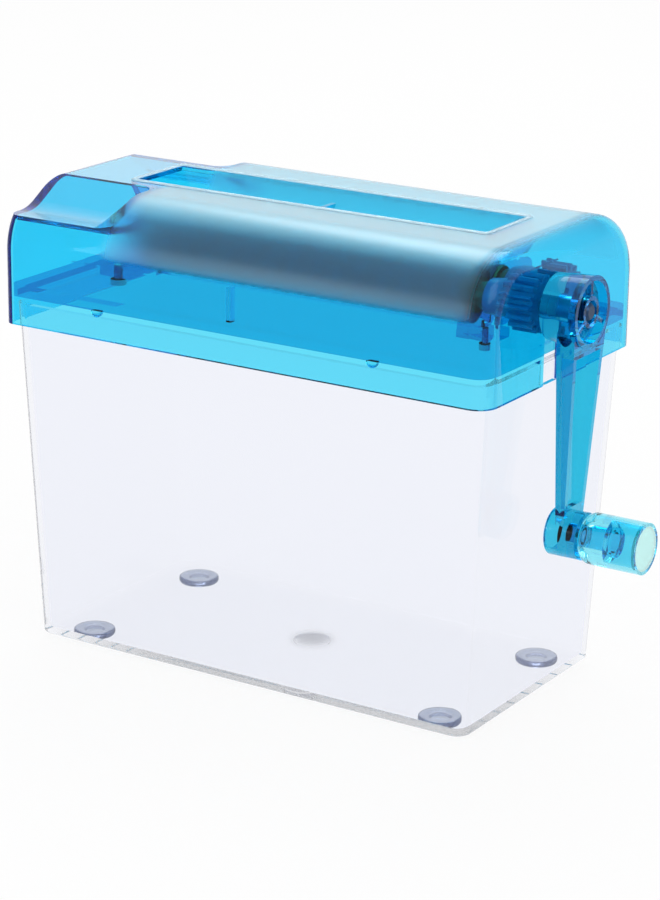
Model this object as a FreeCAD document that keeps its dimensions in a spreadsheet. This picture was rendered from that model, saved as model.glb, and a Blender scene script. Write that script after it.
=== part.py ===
"""Hand-crank paper shredder for a desk, in millimetres.

A see-through head sits on a clear tapered bin. In the head, two shafts carry interleaved cutter discs. A crank
turns the front shaft, and a pair of equal gears turns the rear shaft the other way, so paper from the slot is
drawn down between the discs, cut into strips and dropped into the bin. The head lifts off to empty the bin.

Frame: +Z up, z = 0 on the table, -Y the front, +X the crank's side, origin under the whole object's middle.
"""
import FreeCAD
import Part
import Sketcher
import math
import os
import re
from FreeCAD import Placement, Rotation, Vector

# Driving dimensions, each an alias, a value and what it measures.
DIMENSIONS = [
    ("housing_x", "-16.8", "middle of the housing, so that the crank's overhang is balanced about x = 0"),
    # Bin and feet
    ("bin_base_length", "159.8", "bin along X at its underside"),
    ("bin_base_depth", "83.1", "bin along Y at its underside"),
    ("bin_height", "111", "bin from its underside to its rim"),
    ("bin_wall", "2", "bin's side walls"),
    ("bin_floor", "2.2", "bin's floor"),
    ("bin_corner", "5", "bin's upright corners, outside"),
    ("bin_edge", "1", "edge round the bin's underside"),
    ("gate_diameter", "12", "moulding gate's dimple in the underside"),
    ("gate_depth", "0.6", "depth of that dimple"),
    ("foot_diameter", "13.6", "foot pad"),
    ("foot_height", "2", "foot pad's thickness"),
    ("foot_chamfer", "0.4", "foot pad's lower edge"),
    ("foot_dimple_diameter", "6", "dimple in the foot pad"),
    ("foot_dimple_depth", "0.8", "depth of that dimple"),
    ("foot_inset_x", "14.4", "foot pads' middles, in from the bin's ends"),
    ("foot_inset_y", "11.65", "foot pads' middles, in from the bin's long sides"),
    # Cover
    ("cover_length", "175", "cover along X"),
    ("cover_depth", "93.3", "cover along Y"),
    ("cover_height", "43.5", "cover from the skirt's edge to the top"),
    ("cover_wall", "1.8", "cover's wall"),
    ("shoulder_radius", "20", "front and rear shoulders of the dome"),
    ("crank_end_round", "6.5", "edges of the crank's end"),
    ("far_end_round", "4", "edges of the other end"),
    ("skirt_overlap", "6.5", "skirt below the bin's rim"),
    ("rim_clearance", "0.45", "between the bin's rim and the skirt, each side"),
    ("rim_gap", "0.3", "between the bin's rim and the bumps that rest on it"),
    ("bump_diameter", "4", "half-round bumps inside the skirt that carry the base plate"),
    ("bump_inset", "0.4", "bump's centre, inwards from the wall's inner face"),
    ("bump_spread", "100", "between the bumps of a long wall"),
    ("bump_centre", "-1.9", "middle of those bumps, from the housing's middle"),
    ("end_bump_y", "20", "bump of an end wall, from the middle plane"),
    ("slot_length", "127", "paper slot along X"),
    ("slot_width", "26", "paper slot along Y at the top"),
    ("slot_centre", "3.5", "paper slot's middle, from the housing's middle"),
    ("throat_width", "14", "hopper's lower mouth along Y"),
    ("throat_depth", "9", "hopper's depth"),
    ("throat_wall", "1.6", "hopper's walls"),
    ("slot_rib_x", "-0.5", "thin rib across the slot, from the housing's middle"),
    ("slot_rib_drop", "4", "that rib's top below the cover's top"),
    ("rib_thickness", "1.6", "ribs of the cover"),
    ("wall_rib_x", "-2.5", "upright ribs inside the long walls, from the housing's middle"),
    ("wall_rib_depth", "2.4", "how far those ribs stand out"),
    ("scoop_length", "40", "grip scoops along X, from the end away from the crank"),
    ("scoop_edge", "18.7", "scoop's upper edge, from the middle plane"),
    ("scoop_run", "14.9", "scoop's ramp along Y"),
    ("scoop_drop", "9", "scoop's floor below the cover's top"),
    ("scoop_round", "14", "hollow between the ramp and the floor"),
    ("scoop_lip", "2.6", "scoop's outer end, in from the long wall"),
    ("scoop_corner", "10", "scoop's outer corner in plan"),
    ("scoop_top_corner", "6", "scoop's inner corner in plan"),
    ("notch_width", "9.4", "crank shaft's notch in the cover"),
    ("tongue_gap", "0.3", "round the bin's tongue in that notch"),
    ("tongue_setback", "0.4", "tongue's outer face, in from the cover's end"),
    # Base plate and bearing plates
    ("plate_thickness", "2", "base plate"),
    ("plate_rim", "2", "rim under the base plate's edge"),
    ("plate_rim_width", "1.6", "width of that rim"),
    ("plate_clearance", "0.15", "base plate in the cover, each side"),
    ("outlet_depth", "15", "outlet in the base plate along Y"),
    ("outlet_corner", "2", "outlet's corners"),
    ("axis_height", "10.7", "shafts' axes above the base plate"),
    ("shaft_spacing", "16", "between the shafts, which is the gears' pitch diameter"),
    ("bearing_thickness", "4", "bearing plates"),
    ("bearing_width", "40", "bearing plates along Y at the foot"),
    ("bearing_top_width", "34", "bearing plates along Y at the top"),
    ("bearing_rise", "8", "bearing plates above the axes"),
    ("bearing_round", "6", "bearing plates' upper corners"),
    ("ledge_length", "8", "bearing plates' ledges along X"),
    ("ledge_width", "9", "bearing plates' ledges along Y"),
    ("ledge_height", "3", "bearing plates' ledges"),
    ("screw_diameter", "2.8", "plate screws' shanks"),
    ("screw_head_diameter", "5.2", "plate screws' heads"),
    ("screw_head_height", "1.8", "plate screws' heads"),
    ("screw_clearance", "0.05", "round each screw and pressed pin, radial"),
    # Shafts, cutters and combs
    ("roller_centre", "2.5", "cutters' middle, from the housing's middle"),
    ("disc_count", "15", "discs on the front shaft"),
    ("disc_width", "3.8", "cutter disc"),
    ("disc_diameter", "18.5", "cutter disc"),
    ("disc_side_gap", "0.2", "between a disc and the disc beside it on the other shaft"),
    ("spacer_diameter", "12.5", "spacer between discs"),
    ("shaft_flats", "8", "shaft's hexagon across its flats"),
    ("hex_clearance", "0.03", "discs on the hexagon, each flat"),
    ("journal_diameter", "6", "shaft's round ends"),
    ("running_clearance", "0.05", "journals in the bushes and grip on its pin, radial"),
    ("bush_diameter", "9", "bush's barrel"),
    ("flange_diameter", "12", "bush's flange"),
    ("flange_thickness", "1.2", "bush's flange"),
    ("end_play", "0.3", "between the cutters and the bushes' flanges"),
    ("clip_diameter", "9.4", "spring clip"),
    ("clip_thickness", "0.8", "spring clip"),
    ("clip_groove", "0.5", "depth of the clip's groove in the shaft"),
    ("clip_mouth", "3.6", "clip's open side"),
    ("clip_gap", "0.3", "between a clip and what it holds"),
    ("shaft_stub", "0.8", "shaft's end past its clip"),
    ("comb_inner", "3.2", "comb's inner face, from the middle plane"),
    ("comb_width", "2", "comb along Y"),
    ("comb_drop", "1", "comb's underside, below the base plate's top"),
    ("comb_height", "2.5", "comb's bar"),
    ("finger_width", "2.6", "comb's fingers along X"),
    ("finger_height", "5.6", "comb's fingers, from its underside"),
    # Gears
    ("gear_teeth", "16", "teeth on each gear"),
    ("gear_width", "8", "toothed part"),
    ("gear_wall_gap", "2.6", "between the gears and the cover's end wall"),
    ("gear_hub_diameter", "11", "gear's hub"),
    ("gear_hub_gap", "0.4", "between the gear's hub and the bearing plate"),
    ("tooth_tip", "0.9", "tooth above the pitch circle"),
    ("tooth_root", "1.3", "tooth below the pitch circle"),
    ("tooth_tip_lean", "0.45", "flank's lean above the pitch circle, per mm of height"),
    ("tooth_root_lean", "0.1", "flank's lean below the pitch circle, per mm of height"),
    ("tooth_backlash", "0.32", "play between two teeth, each side"),
    # Crank and grip
    ("crank_gap", "0.8", "between the crank's hub and the cover"),
    ("hub_length", "12.2", "crank's hub along X"),
    ("hub_diameter", "20.4", "crank's hub at the cover"),
    ("hub_face_diameter", "22", "crank's hub at its face"),
    ("hub_rim", "1.6", "rim round the hub's face"),
    ("hub_recess", "3", "depth of the hub's ring recess"),
    ("hub_rib_count", "3", "ribs across the hub's ring recess"),
    ("hub_rib", "1.3", "thickness of those ribs"),
    ("hub_boss_diameter", "9.6", "boss in the hub's face"),
    ("hub_boss_drop", "0.5", "that boss below the face"),
    ("hub_web", "1.3", "web that the crank screw clamps"),
    ("hub_bore_depth", "8.2", "shaft in the hub"),
    ("crank_screw_diameter", "3.2", "crank screw's shank"),
    ("crank_screw_length", "8", "crank screw in the shaft"),
    ("crank_head_diameter", "5.8", "crank screw's head"),
    ("crank_head_height", "1.8", "crank screw's head"),
    ("washer_diameter", "6.6", "washer under the crank screw"),
    ("washer_thickness", "0.5", "washer under the crank screw"),
    ("counterbore_gap", "0.2", "round the washer in the hub"),
    ("crank_radius", "69", "from the shaft's axis to the grip's"),
    ("arm_inset", "5.7", "arm, from the hub's inner face"),
    ("arm_top_thickness", "6.4", "arm along X at the hub's axis"),
    ("arm_end_thickness", "2.6", "arm along X at the grip's axis"),
    ("arm_top_width", "20.4", "arm along Y at the hub's axis"),
    ("arm_end_width", "11.8", "arm along Y at the grip's axis"),
    ("arm_wall", "1.8", "side walls of the arm's channel"),
    ("arm_web", "1.3", "web of the arm's channel"),
    ("boss_inset", "2.5", "boss at the arm's end, from the hub's inner face"),
    ("boss_length", "10.2", "that boss along X"),
    ("boss_diameter", "14.6", "that boss"),
    ("boss_hollow", "4", "depth of the hollow in the boss's back"),
    ("boss_wall", "1.7", "wall round that hollow"),
    ("pin_press_diameter", "5", "grip pin in the boss"),
    ("pin_press_depth", "4.6", "grip pin in the boss"),
    ("pin_diameter", "6.4", "grip pin in the grip"),
    ("pin_head_diameter", "9.2", "pin's head, which keeps the grip on"),
    ("pin_head_length", "1.6", "pin's head along X"),
    ("grip_gap", "0.3", "between the grip and the arm's boss, and between the grip and the pin's head"),
    ("grip_length", "19.8", "grip"),
    ("grip_diameter", "15.8", "grip"),
    ("grip_round", "3", "grip's inner end"),
    ("grip_bearing", "9", "grip's bearing on the pin, along X"),
    ("grip_rim", "1", "rim round the grip's end cap"),
    ("cap_ledge", "0.5", "ledge that the end cap sits on"),
    ("cap_thickness", "1.2", "grip's end cap"),
]
ALIASES = {alias for alias, _, _ in DIMENSIONS}

# Heights and places that follow from the driving dimensions.
RIM_Z = "(foot_height + bin_height)"
SKIRT_Z = f"({RIM_Z} - skirt_overlap)"
TOP_Z = f"({SKIRT_Z} + cover_height)"
PLATE_EDGE_Z = f"({RIM_Z} + rim_gap + bump_diameter / 2)"
PLATE_Z = f"({PLATE_EDGE_Z} + plate_rim)"
FLOOR_Z = f"({PLATE_Z} + plate_thickness)"
AXIS_Z = f"({FLOOR_Z} + axis_height)"
SHAFT_Y = "(shaft_spacing / 2)"
INNER_LENGTH = "(cover_length - 2 * cover_wall)"
INNER_DEPTH = "(cover_depth - 2 * cover_wall)"
RIM_LENGTH = f"({INNER_LENGTH} - 2 * rim_clearance)"
RIM_DEPTH = f"({INNER_DEPTH} - 2 * rim_clearance)"
SPACER_WIDTH = "(disc_width + 2 * disc_side_gap)"
PITCH = f"(disc_width + {SPACER_WIDTH})"
STACK_LENGTH = f"(disc_count * {PITCH} - {SPACER_WIDTH})"
BEARING_HALF = f"({STACK_LENGTH} / 2 + end_play + flange_thickness)"
GEAR_X = f"({INNER_LENGTH} / 2 - gear_wall_gap - gear_width)"
CRANK_X = "(cover_length / 2 + crank_gap)"
BOSS_X = f"({CRANK_X} + boss_inset + boss_length)"
GRIP_X = f"({BOSS_X} + grip_gap)"
GRIP_Z = f"({AXIS_Z} - crank_radius)"
CAP_X = "(grip_length - cap_thickness)"
CAP_SEAT = "(grip_diameter / 2 - grip_rim)"
PAST = "1"  # how far a cutting shape runs past what it cuts

doc = FreeCAD.newDocument("PaperShredder")
sheet = doc.addObject("Spreadsheet::Sheet", "Dims")
pieces = []


def fill_sheet():
    """Write the driving dimensions into the sheet, one row each."""
    for row, (alias, value, note) in enumerate(DIMENSIONS, start=1):
        sheet.set(f"A{row}", value)
        sheet.setAlias(f"A{row}", alias)
        sheet.set(f"B{row}", note)
    doc.recompute()


def on_sheet(text):
    """An expression whose plain names point at the sheet's cells."""
    return re.sub(r"[a-z]\w*", lambda m: f"Dims.{m[0]}" if m[0] in ALIASES else m[0], text)


def bind(item, prop, text):
    item.setExpression(prop, on_sheet(text))


def number(text):
    """The present value of an expression."""
    return float(sheet.evalExpression(on_sheet(text)))


def place(item, x="0", y="0", z="0"):
    """Set a shape's place in the housing, whose middle is at housing_x."""
    bind(item, "Placement.Base.x", f"housing_x + {x}")
    bind(item, "Placement.Base.y", y)
    bind(item, "Placement.Base.z", z)


def keep(item, label):
    """Name a finished piece, which goes into a file of its own."""
    item.Label = label
    pieces.append(item)
    return item


# Sketches and features

def new_body(name):
    return doc.addObject("PartDesign::Body", name)


def origin_plane(body, role):
    return next(feature for feature in body.Origin.OriginFeatures if feature.Role == role)


def new_sketch(body, name, role, lift):
    """An empty sketch on one of the body's origin planes, moved along the plane's normal."""
    sketch = body.newObject("Sketcher::SketchObject", name)
    sketch.AttachmentSupport = (origin_plane(body, role), [""])
    sketch.MapMode = "FlatFace"
    bind(sketch, "AttachmentOffset.Base.z", lift)
    return sketch


def fix_point(sketch, item, end, place_on_sketch):
    """Tie one point of a sketch to a pair of expressions."""
    for kind, text in zip(("DistanceX", "DistanceY"), place_on_sketch):
        index = sketch.addConstraint(Sketcher.Constraint(kind, -1, 1, item, end, number(text)))
        bind(sketch, f"Constraints[{index}]", text)


def add_outline(sketch, points):
    """Straight lines round the points, each a pair of expressions."""
    first = sketch.GeometryCount
    corners = [Vector(number(u), number(v), 0) for u, v in points]
    following = corners[1:] + corners[:1]
    for start, end in zip(corners, following):
        sketch.addGeometry(Part.LineSegment(start, end))
    for step, point in enumerate(points):
        after = first + (step + 1) % len(points)
        sketch.addConstraint(Sketcher.Constraint("Coincident", first + step, 2, after, 1))
        fix_point(sketch, first + step, 1, point)


def add_circle(sketch, centre, diameter):
    middle = Vector(number(centre[0]), number(centre[1]), 0)
    circle = sketch.addGeometry(Part.Circle(middle, Vector(0, 0, 1), number(diameter) / 2))
    fix_point(sketch, circle, 3, centre)
    index = sketch.addConstraint(Sketcher.Constraint("Diameter", circle, number(diameter)))
    bind(sketch, f"Constraints[{index}]", diameter)


def outline(body, name, role, points, lift="0"):
    sketch = new_sketch(body, name, role, lift)
    add_outline(sketch, points)
    return sketch


def rectangle(body, name, role, low, high, lift="0"):
    """A rectangle between two opposite corners."""
    points = [low, (high[0], low[1]), high, (low[0], high[1])]
    return outline(body, name, role, points, lift)


def circles(body, name, role, centres, diameter, lift="0"):
    sketch = new_sketch(body, name, role, lift)
    for centre in centres:
        add_circle(sketch, centre, diameter)
    return sketch


def pad(body, name, sketch, length):
    feature = body.newObject("PartDesign::Pad", name)
    feature.Profile = sketch
    bind(feature, "Length", length)
    doc.recompute()
    return feature


def pocket(body, name, sketch, depth, along_normal=False):
    """Cut a sketch into the body, against the sketch's normal unless along_normal."""
    before = body.Shape.Volume
    feature = body.newObject("PartDesign::Pocket", name)
    feature.Profile = sketch
    feature.Reversed = along_normal
    bind(feature, "Length", depth)
    doc.recompute()
    if body.Shape.Volume >= before:
        raise RuntimeError(f"{name} cuts nothing")
    return feature


def revolve(body, name, points, axis="H_Axis", kind="PartDesign::Revolution"):
    """Turn an outline in the XZ plane about one of the sketch's axes, to add or, as a groove, to cut."""
    sketch = outline(body, f"{name}_profile", "XZ_Plane", points)
    feature = body.newObject(kind, name)
    feature.Profile = sketch
    feature.ReferenceAxis = (sketch, [axis])
    feature.Angle = 360
    doc.recompute()
    return feature


def size_wedge(item, spans, ends):
    """Bind a wedge that stands along its own Y axis: its spans in X and Z at its two ends, and the ends."""
    for end_name, end_spans in zip(("", "2"), spans):
        for axis, (low, high) in zip("XZ", end_spans):
            bind(item, f"{axis}{end_name}min", low)
            bind(item, f"{axis}{end_name}max", high)
    bind(item, "Ymin", ends[0])
    bind(item, "Ymax", ends[1])


def even(half):
    """A span of equal reach on both sides."""
    return f"-{half}", half


def upright_wedge(body, name, kind, spans, ends):
    """A wedge in a body that stands along Z, with spans in X and Y at its lower and upper ends."""
    item = body.newObject(kind, name)
    item.AttachmentSupport = (origin_plane(body, "XZ_Plane"), [""])
    item.MapMode = "FlatFace"
    size_wedge(item, spans, ends)
    doc.recompute()
    return item


def fillet(body, name, base, radius, chosen):
    """Round the edges of a feature whose bounding boxes pass the test."""
    edges = [f"Edge{i}" for i, edge in enumerate(base.Shape.Edges, start=1) if chosen(edge.BoundBox)]
    if not edges:
        raise RuntimeError(f"{name} finds no edge")
    feature = body.newObject("PartDesign::Fillet", name)
    feature.Base = (base, edges)
    bind(feature, "Radius", radius)
    doc.recompute()
    return feature


def polar(body, name, feature, sketch, count):
    """Repeat a feature about the normal at its sketch's origin."""
    pattern = body.newObject("PartDesign::PolarPattern", name)
    pattern.Originals = [feature]
    pattern.Axis = (sketch, ["N_Axis"])
    pattern.Angle = 360
    bind(pattern, "Occurrences", count)
    body.Tip = pattern
    doc.recompute()
    return pattern


def near(value, text):
    return abs(value - number(text)) < 0.01


def upright(box):
    """Whether an edge runs mostly along Z."""
    return box.ZLength > 2 * max(box.XLength, box.YLength)


def hexagon(flats):
    """Corners of a hexagon in the YZ plane, with two of its flats level."""
    side = f"({flats} / sqrt(3))"
    half = f"({flats} / 2)"
    return [(side, "0"), (f"{side} / 2", half), (f"-{side} / 2", half),
            (f"-{side}", "0"), (f"-{side} / 2", f"-{half}"), (f"{side} / 2", f"-{half}")]


# Part shapes and booleans

def box(name, size, low):
    """A block from its size and its lowest corner."""
    item = doc.addObject("Part::Box", name)
    for prop, text in zip(("Length", "Width", "Height"), size):
        bind(item, prop, text)
    for letter, text in zip("xyz", low):
        bind(item, f"Placement.Base.{letter}", text)
    return item


def cylinder(name, diameter, length, start):
    """A cylinder along X from its start point."""
    item = doc.addObject("Part::Cylinder", name)
    bind(item, "Radius", f"{diameter} / 2")
    bind(item, "Height", length)
    item.Placement = Placement(Vector(), Rotation(Vector(0, 1, 0), 90))
    for letter, text in zip("xyz", start):
        bind(item, f"Placement.Base.{letter}", text)
    return item


def fuse(name, items):
    item = doc.addObject("Part::MultiFuse", name)
    item.Shapes = items
    item.Refine = True
    return item


def common(name, items):
    item = doc.addObject("Part::MultiCommon", name)
    item.Shapes = items
    return item


def cut(name, base, tool):
    item = doc.addObject("Part::Cut", name)
    item.Base = base
    item.Tool = tool
    item.Refine = True
    return item


def mirror_y(name, source):
    item = doc.addObject("Part::Mirroring", name)
    item.Source = source
    item.Normal = Vector(0, 1, 0)
    return item


# Bin and feet

def bin_half(size, rim, height):
    """Half the bin's outer size at a height above its underside: the walls lean out evenly to the rim."""
    return f"({size} / 2 + ({rim} - {size}) / 2 * {height} / bin_height)"


def bin_wedge(body, name, kind, low, high, inset):
    """The bin's leaning block between two heights above its underside, drawn in by an inset."""
    spans = [(even(f"({bin_half('bin_base_length', RIM_LENGTH, height)} - {inset})"),
              even(f"({bin_half('bin_base_depth', RIM_DEPTH, height)} - {inset})")) for height in (low, high)]
    return upright_wedge(body, name, kind, spans, (f"foot_height + {low}", f"foot_height + {high}"))


def collection_bin():
    """Tapered bin with an open top, and the tongue that closes the crank's notch from below."""
    body = new_body("Bin")
    outside = bin_wedge(body, "BinOutside", "PartDesign::AdditiveWedge", "0", "bin_height", "0")
    corners = fillet(body, "BinCorners", outside, "bin_corner", upright)
    fillet(body, "BinEdge", corners, "bin_edge", lambda b: near(b.ZMax, "foot_height"))
    inside = bin_wedge(body, "BinInside", "PartDesign::SubtractiveWedge", "bin_floor", f"(bin_height + {PAST})",
                       "bin_wall")
    fillet(body, "BinInnerCorners", inside, "bin_corner - bin_wall",
           lambda b: upright(b) and near(b.ZMin, "foot_height + bin_floor"))
    gate = circles(body, "GateCircle", "XY_Plane", [("0", "0")], "gate_diameter", "foot_height")
    pocket(body, "Gate", gate, "gate_depth", along_normal=True)
    pad(body, "Tongue", tongue_profile(body), "notch_width - 2 * tongue_gap")
    place(body)
    return keep(body, "collection_bin")


def tongue_profile(body):
    """Side view of the tongue: a foot out of the bin's wall and a blade flush with the cover's end."""
    at_skirt = bin_half("bin_base_length", RIM_LENGTH, "(bin_height - skirt_overlap)")
    wall_middle = f"({at_skirt} - bin_wall / 2)"
    flush = "(cover_length / 2 - tongue_setback)"
    blade = f"({INNER_LENGTH} / 2 + tongue_gap)"
    top = f"({AXIS_Z} - notch_width / 2)"
    ledge = f"({RIM_Z} - rim_gap)"
    points = [(wall_middle, SKIRT_Z), (flush, SKIRT_Z), (flush, top), (blade, top), (blade, ledge),
              (f"({RIM_LENGTH} / 2 - bin_wall / 2)", ledge)]
    return outline(body, "TongueProfile", "XZ_Plane", points, f"{SHAFT_Y} - notch_width / 2 + tongue_gap")


def foot(label, side_x, side_y):
    """Round pad with a dimple underneath, turned about its own upright axis."""
    body = new_body(label.title().replace("_", ""))
    edge = "foot_diameter / 2"
    dimple = "foot_dimple_diameter / 2"
    points = [("0", "foot_dimple_depth"), (dimple, "foot_dimple_depth"), (dimple, "0"),
              (f"{edge} - foot_chamfer", "0"), (edge, "foot_chamfer"), (edge, "foot_height"),
              ("0", "foot_height")]
    revolve(body, f"{body.Name}Turned", points, "V_Axis")
    place(body, f"({side_x} * (bin_base_length / 2 - foot_inset_x))",
          f"{side_y} * (bin_base_depth / 2 - foot_inset_y)")
    return keep(body, label)


# Cover

def dome(name, inset, below):
    """The cover's full form drawn in by an inset: a block with round shoulders and round ends."""
    body = new_body(name)
    x = f"(cover_length / 2 - {inset})"
    y = f"(cover_depth / 2 - {inset})"
    sketch = rectangle(body, f"{name}Plan", "XY_Plane", (f"-{x}", f"-{y}"), (x, y), f"{SKIRT_Z} - {below}")
    block = pad(body, f"{name}Block", sketch, f"cover_height - {inset} + {below}")
    top = f"({TOP_Z} - {inset})"
    shoulders = fillet(body, f"{name}Shoulders", block, f"shoulder_radius - {inset}",
                       lambda b: near(b.ZMin, top) and b.XLength > b.YLength)
    base_z = f"({SKIRT_Z} - {below})"
    crank_end = fillet(body, f"{name}CrankEnd", shoulders, f"crank_end_round - {inset}",
                       lambda b: near(b.XMin, x) and not near(b.ZMax, base_z))
    fillet(body, f"{name}FarEnd", crank_end, f"far_end_round - {inset}",
           lambda b: near(b.XMax, f"-{x}") and not near(b.ZMax, base_z))
    return body


def scoop(name, grow):
    """Cutting shape of the front grip scoop, made larger by a wall's thickness for the cover's inside.

    A ramp, a hollow and a level floor run along X, and a block with round corners gives the outline in plan.
    """
    start = f"-(cover_length / 2 + {PAST})"
    end = f"(scoop_length + {grow} - cover_length / 2)"
    edge = f"(scoop_edge - {grow})"
    floor = f"({TOP_Z} - scoop_drop - {grow})"
    above = f"({TOP_Z} + {PAST})"
    foot_y = f"-({edge} + scoop_run)"
    ramp_top = f"-({edge} - ({PAST} + {grow}) * scoop_run / scoop_drop)"
    outer = f"-(cover_depth / 2 - scoop_lip + {grow})"
    bar = new_body(f"{name}Bar")
    points = [(ramp_top, above), (foot_y, floor), (outer, floor), (outer, above)]
    profile = outline(bar, f"{name}Profile", "YZ_Plane", points, start)
    run = pad(bar, f"{name}Run", profile, f"{end} - {start}")
    fillet(bar, f"{name}Hollow", run, "scoop_round", lambda b: near(b.YMin, foot_y) and near(b.YMax, foot_y))
    block = new_body(f"{name}Plan")
    plan = rectangle(block, f"{name}PlanOutline", "XY_Plane", (start, outer), (end, f"-{edge}"),
                     f"{floor} - {PAST}")
    raised = pad(block, f"{name}Block", plan, f"scoop_drop + {grow} + 3 * {PAST}")
    outer_corner = fillet(block, f"{name}OuterCorner", raised, f"scoop_corner + {grow}",
                          lambda b: upright(b) and near(b.XMin, end) and near(b.YMin, outer))
    fillet(block, f"{name}InnerCorner", outer_corner, f"scoop_top_corner + {grow}",
           lambda b: upright(b) and near(b.XMin, end) and near(b.YMin, f"-{edge}"))
    return common(name, [bar, block])


def hopper(name, wall, past):
    """A block that narrows downwards, either the hopper's outside or, past both ends, its opening."""
    slope = f"((slot_width - throat_width) / 2 / throat_depth * {past})"
    along = even(f"(slot_length / 2 + {wall})")
    spans = [(along, even(f"(throat_width / 2 + {wall} - {slope})")),
             (along, even(f"(slot_width / 2 + {wall} + {slope})"))]
    item = doc.addObject("Part::Wedge", name)
    size_wedge(item, spans, (f"-throat_depth - {past}", past))
    item.Placement = Placement(Vector(), Rotation(Vector(1, 0, 0), 90))
    bind(item, "Placement.Base.x", "slot_centre")
    bind(item, "Placement.Base.z", TOP_Z)
    return item


def cover_ribs():
    """The rib across the slot, and one upright rib inside each long wall."""
    length = "(slot_width + 2 * throat_wall)"
    across = box("SlotRib", ("rib_thickness", length, "throat_depth - slot_rib_drop"),
                 ("slot_rib_x - rib_thickness / 2", f"-{length} / 2", f"{TOP_Z} - throat_depth"))
    inside = common("SlotRibInHopper", [across, hopper("RibLimit", "throat_wall / 2", "0")])
    height = f"({TOP_Z} - shoulder_radius - {FLOOR_Z})"
    size = ("rib_thickness", "wall_rib_depth + cover_wall / 2", height)
    x = "wall_rib_x - rib_thickness / 2"
    wall = "(cover_depth / 2 - cover_wall / 2)"
    front = box("FrontRib", size, (x, f"-{wall}", FLOOR_Z))
    rear = box("RearRib", size, (x, f"{wall} - wall_rib_depth - cover_wall / 2", FLOOR_Z))
    return inside, [front, rear]


def skirt_bumps():
    """Half-round bumps inside the skirt, flat side up: two on each long wall and one on each end."""
    y = f"({INNER_DEPTH} / 2 - bump_inset)"
    x = f"({INNER_LENGTH} / 2 - bump_inset)"
    spots = [(f"(bump_centre + {side} * bump_spread / 2)", f"{row} * {y}")
             for side in (-1, 1) for row in (-1, 1)]
    spots += [(x, "end_bump_y"), (f"-{x}", "end_bump_y")]
    bumps = []
    for index, (across, along) in enumerate(spots):
        ball = doc.addObject("Part::Sphere", f"Bump{index}")
        bind(ball, "Radius", "bump_diameter / 2")
        ball.Angle2 = 0
        for letter, text in zip("xyz", (across, along, PLATE_EDGE_Z)):
            bind(ball, f"Placement.Base.{letter}", text)
        bumps.append(ball)
    return bumps


def crank_notch():
    """The notch in the crank's end: straight sides and a round top about the shaft."""
    start = f"({INNER_LENGTH} / 2 - {PAST})"
    length = f"(cover_wall + 2 * {PAST})"
    low = f"({SKIRT_Z} - {PAST})"
    sides = box("NotchSides", (length, "notch_width", f"{AXIS_Z} - {low}"),
                (start, f"-({SHAFT_Y} + notch_width / 2)", low))
    top = cylinder("NotchTop", "notch_width", length, (start, f"-{SHAFT_Y}", AXIS_Z))
    return fuse("Notch", [sides, top])


def top_cover():
    """See-through dome: a shell with hopper, ribs and bumps, less the scoops, the slot and the notch."""
    outside = dome("CoverOutside", "0", "0")
    inner_scoop = scoop("InnerScoop", "cover_wall")
    inner_scoops = fuse("InnerScoops", [inner_scoop, mirror_y("InnerScoopRear", inner_scoop)])
    hollow = cut("CoverHollow", dome("CoverInside", "cover_wall", PAST), inner_scoops)
    shell = cut("CoverShell", outside, hollow)
    slot_rib, wall_ribs = cover_ribs()
    outer_hopper = hopper("HopperOutside", "throat_wall", "0")
    joined = fuse("CoverJoined", [shell, outer_hopper] + wall_ribs + skirt_bumps())
    front_scoop = scoop("Scoop", "0")
    openings = fuse("CoverOpenings", [front_scoop, mirror_y("ScoopRear", front_scoop),
                                      hopper("HopperOpening", "0", PAST), crank_notch()])
    opened = cut("CoverOpened", joined, openings)
    cover = fuse("Cover", [opened, slot_rib])
    place(cover)
    return keep(cover, "top_cover")


# Base plate, bearing plates and combs

def bearing_face(side):
    """X of a bearing plate's inner face, on the crank's side (1) or the far side (-1)."""
    return f"(roller_centre + {side} * {BEARING_HALF})"


def screw_spots():
    """Places of the four plate screws, in the middle of the bearing plates' ledges."""
    y = "(bearing_width / 2 - ledge_width / 2)"
    reach = "(bearing_thickness + ledge_length / 2)"
    return [(f"({bearing_face(side)} + {side} * {reach})", f"{row} * {y}")
            for side in (-1, 1) for row in (-1, 1)]


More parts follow.
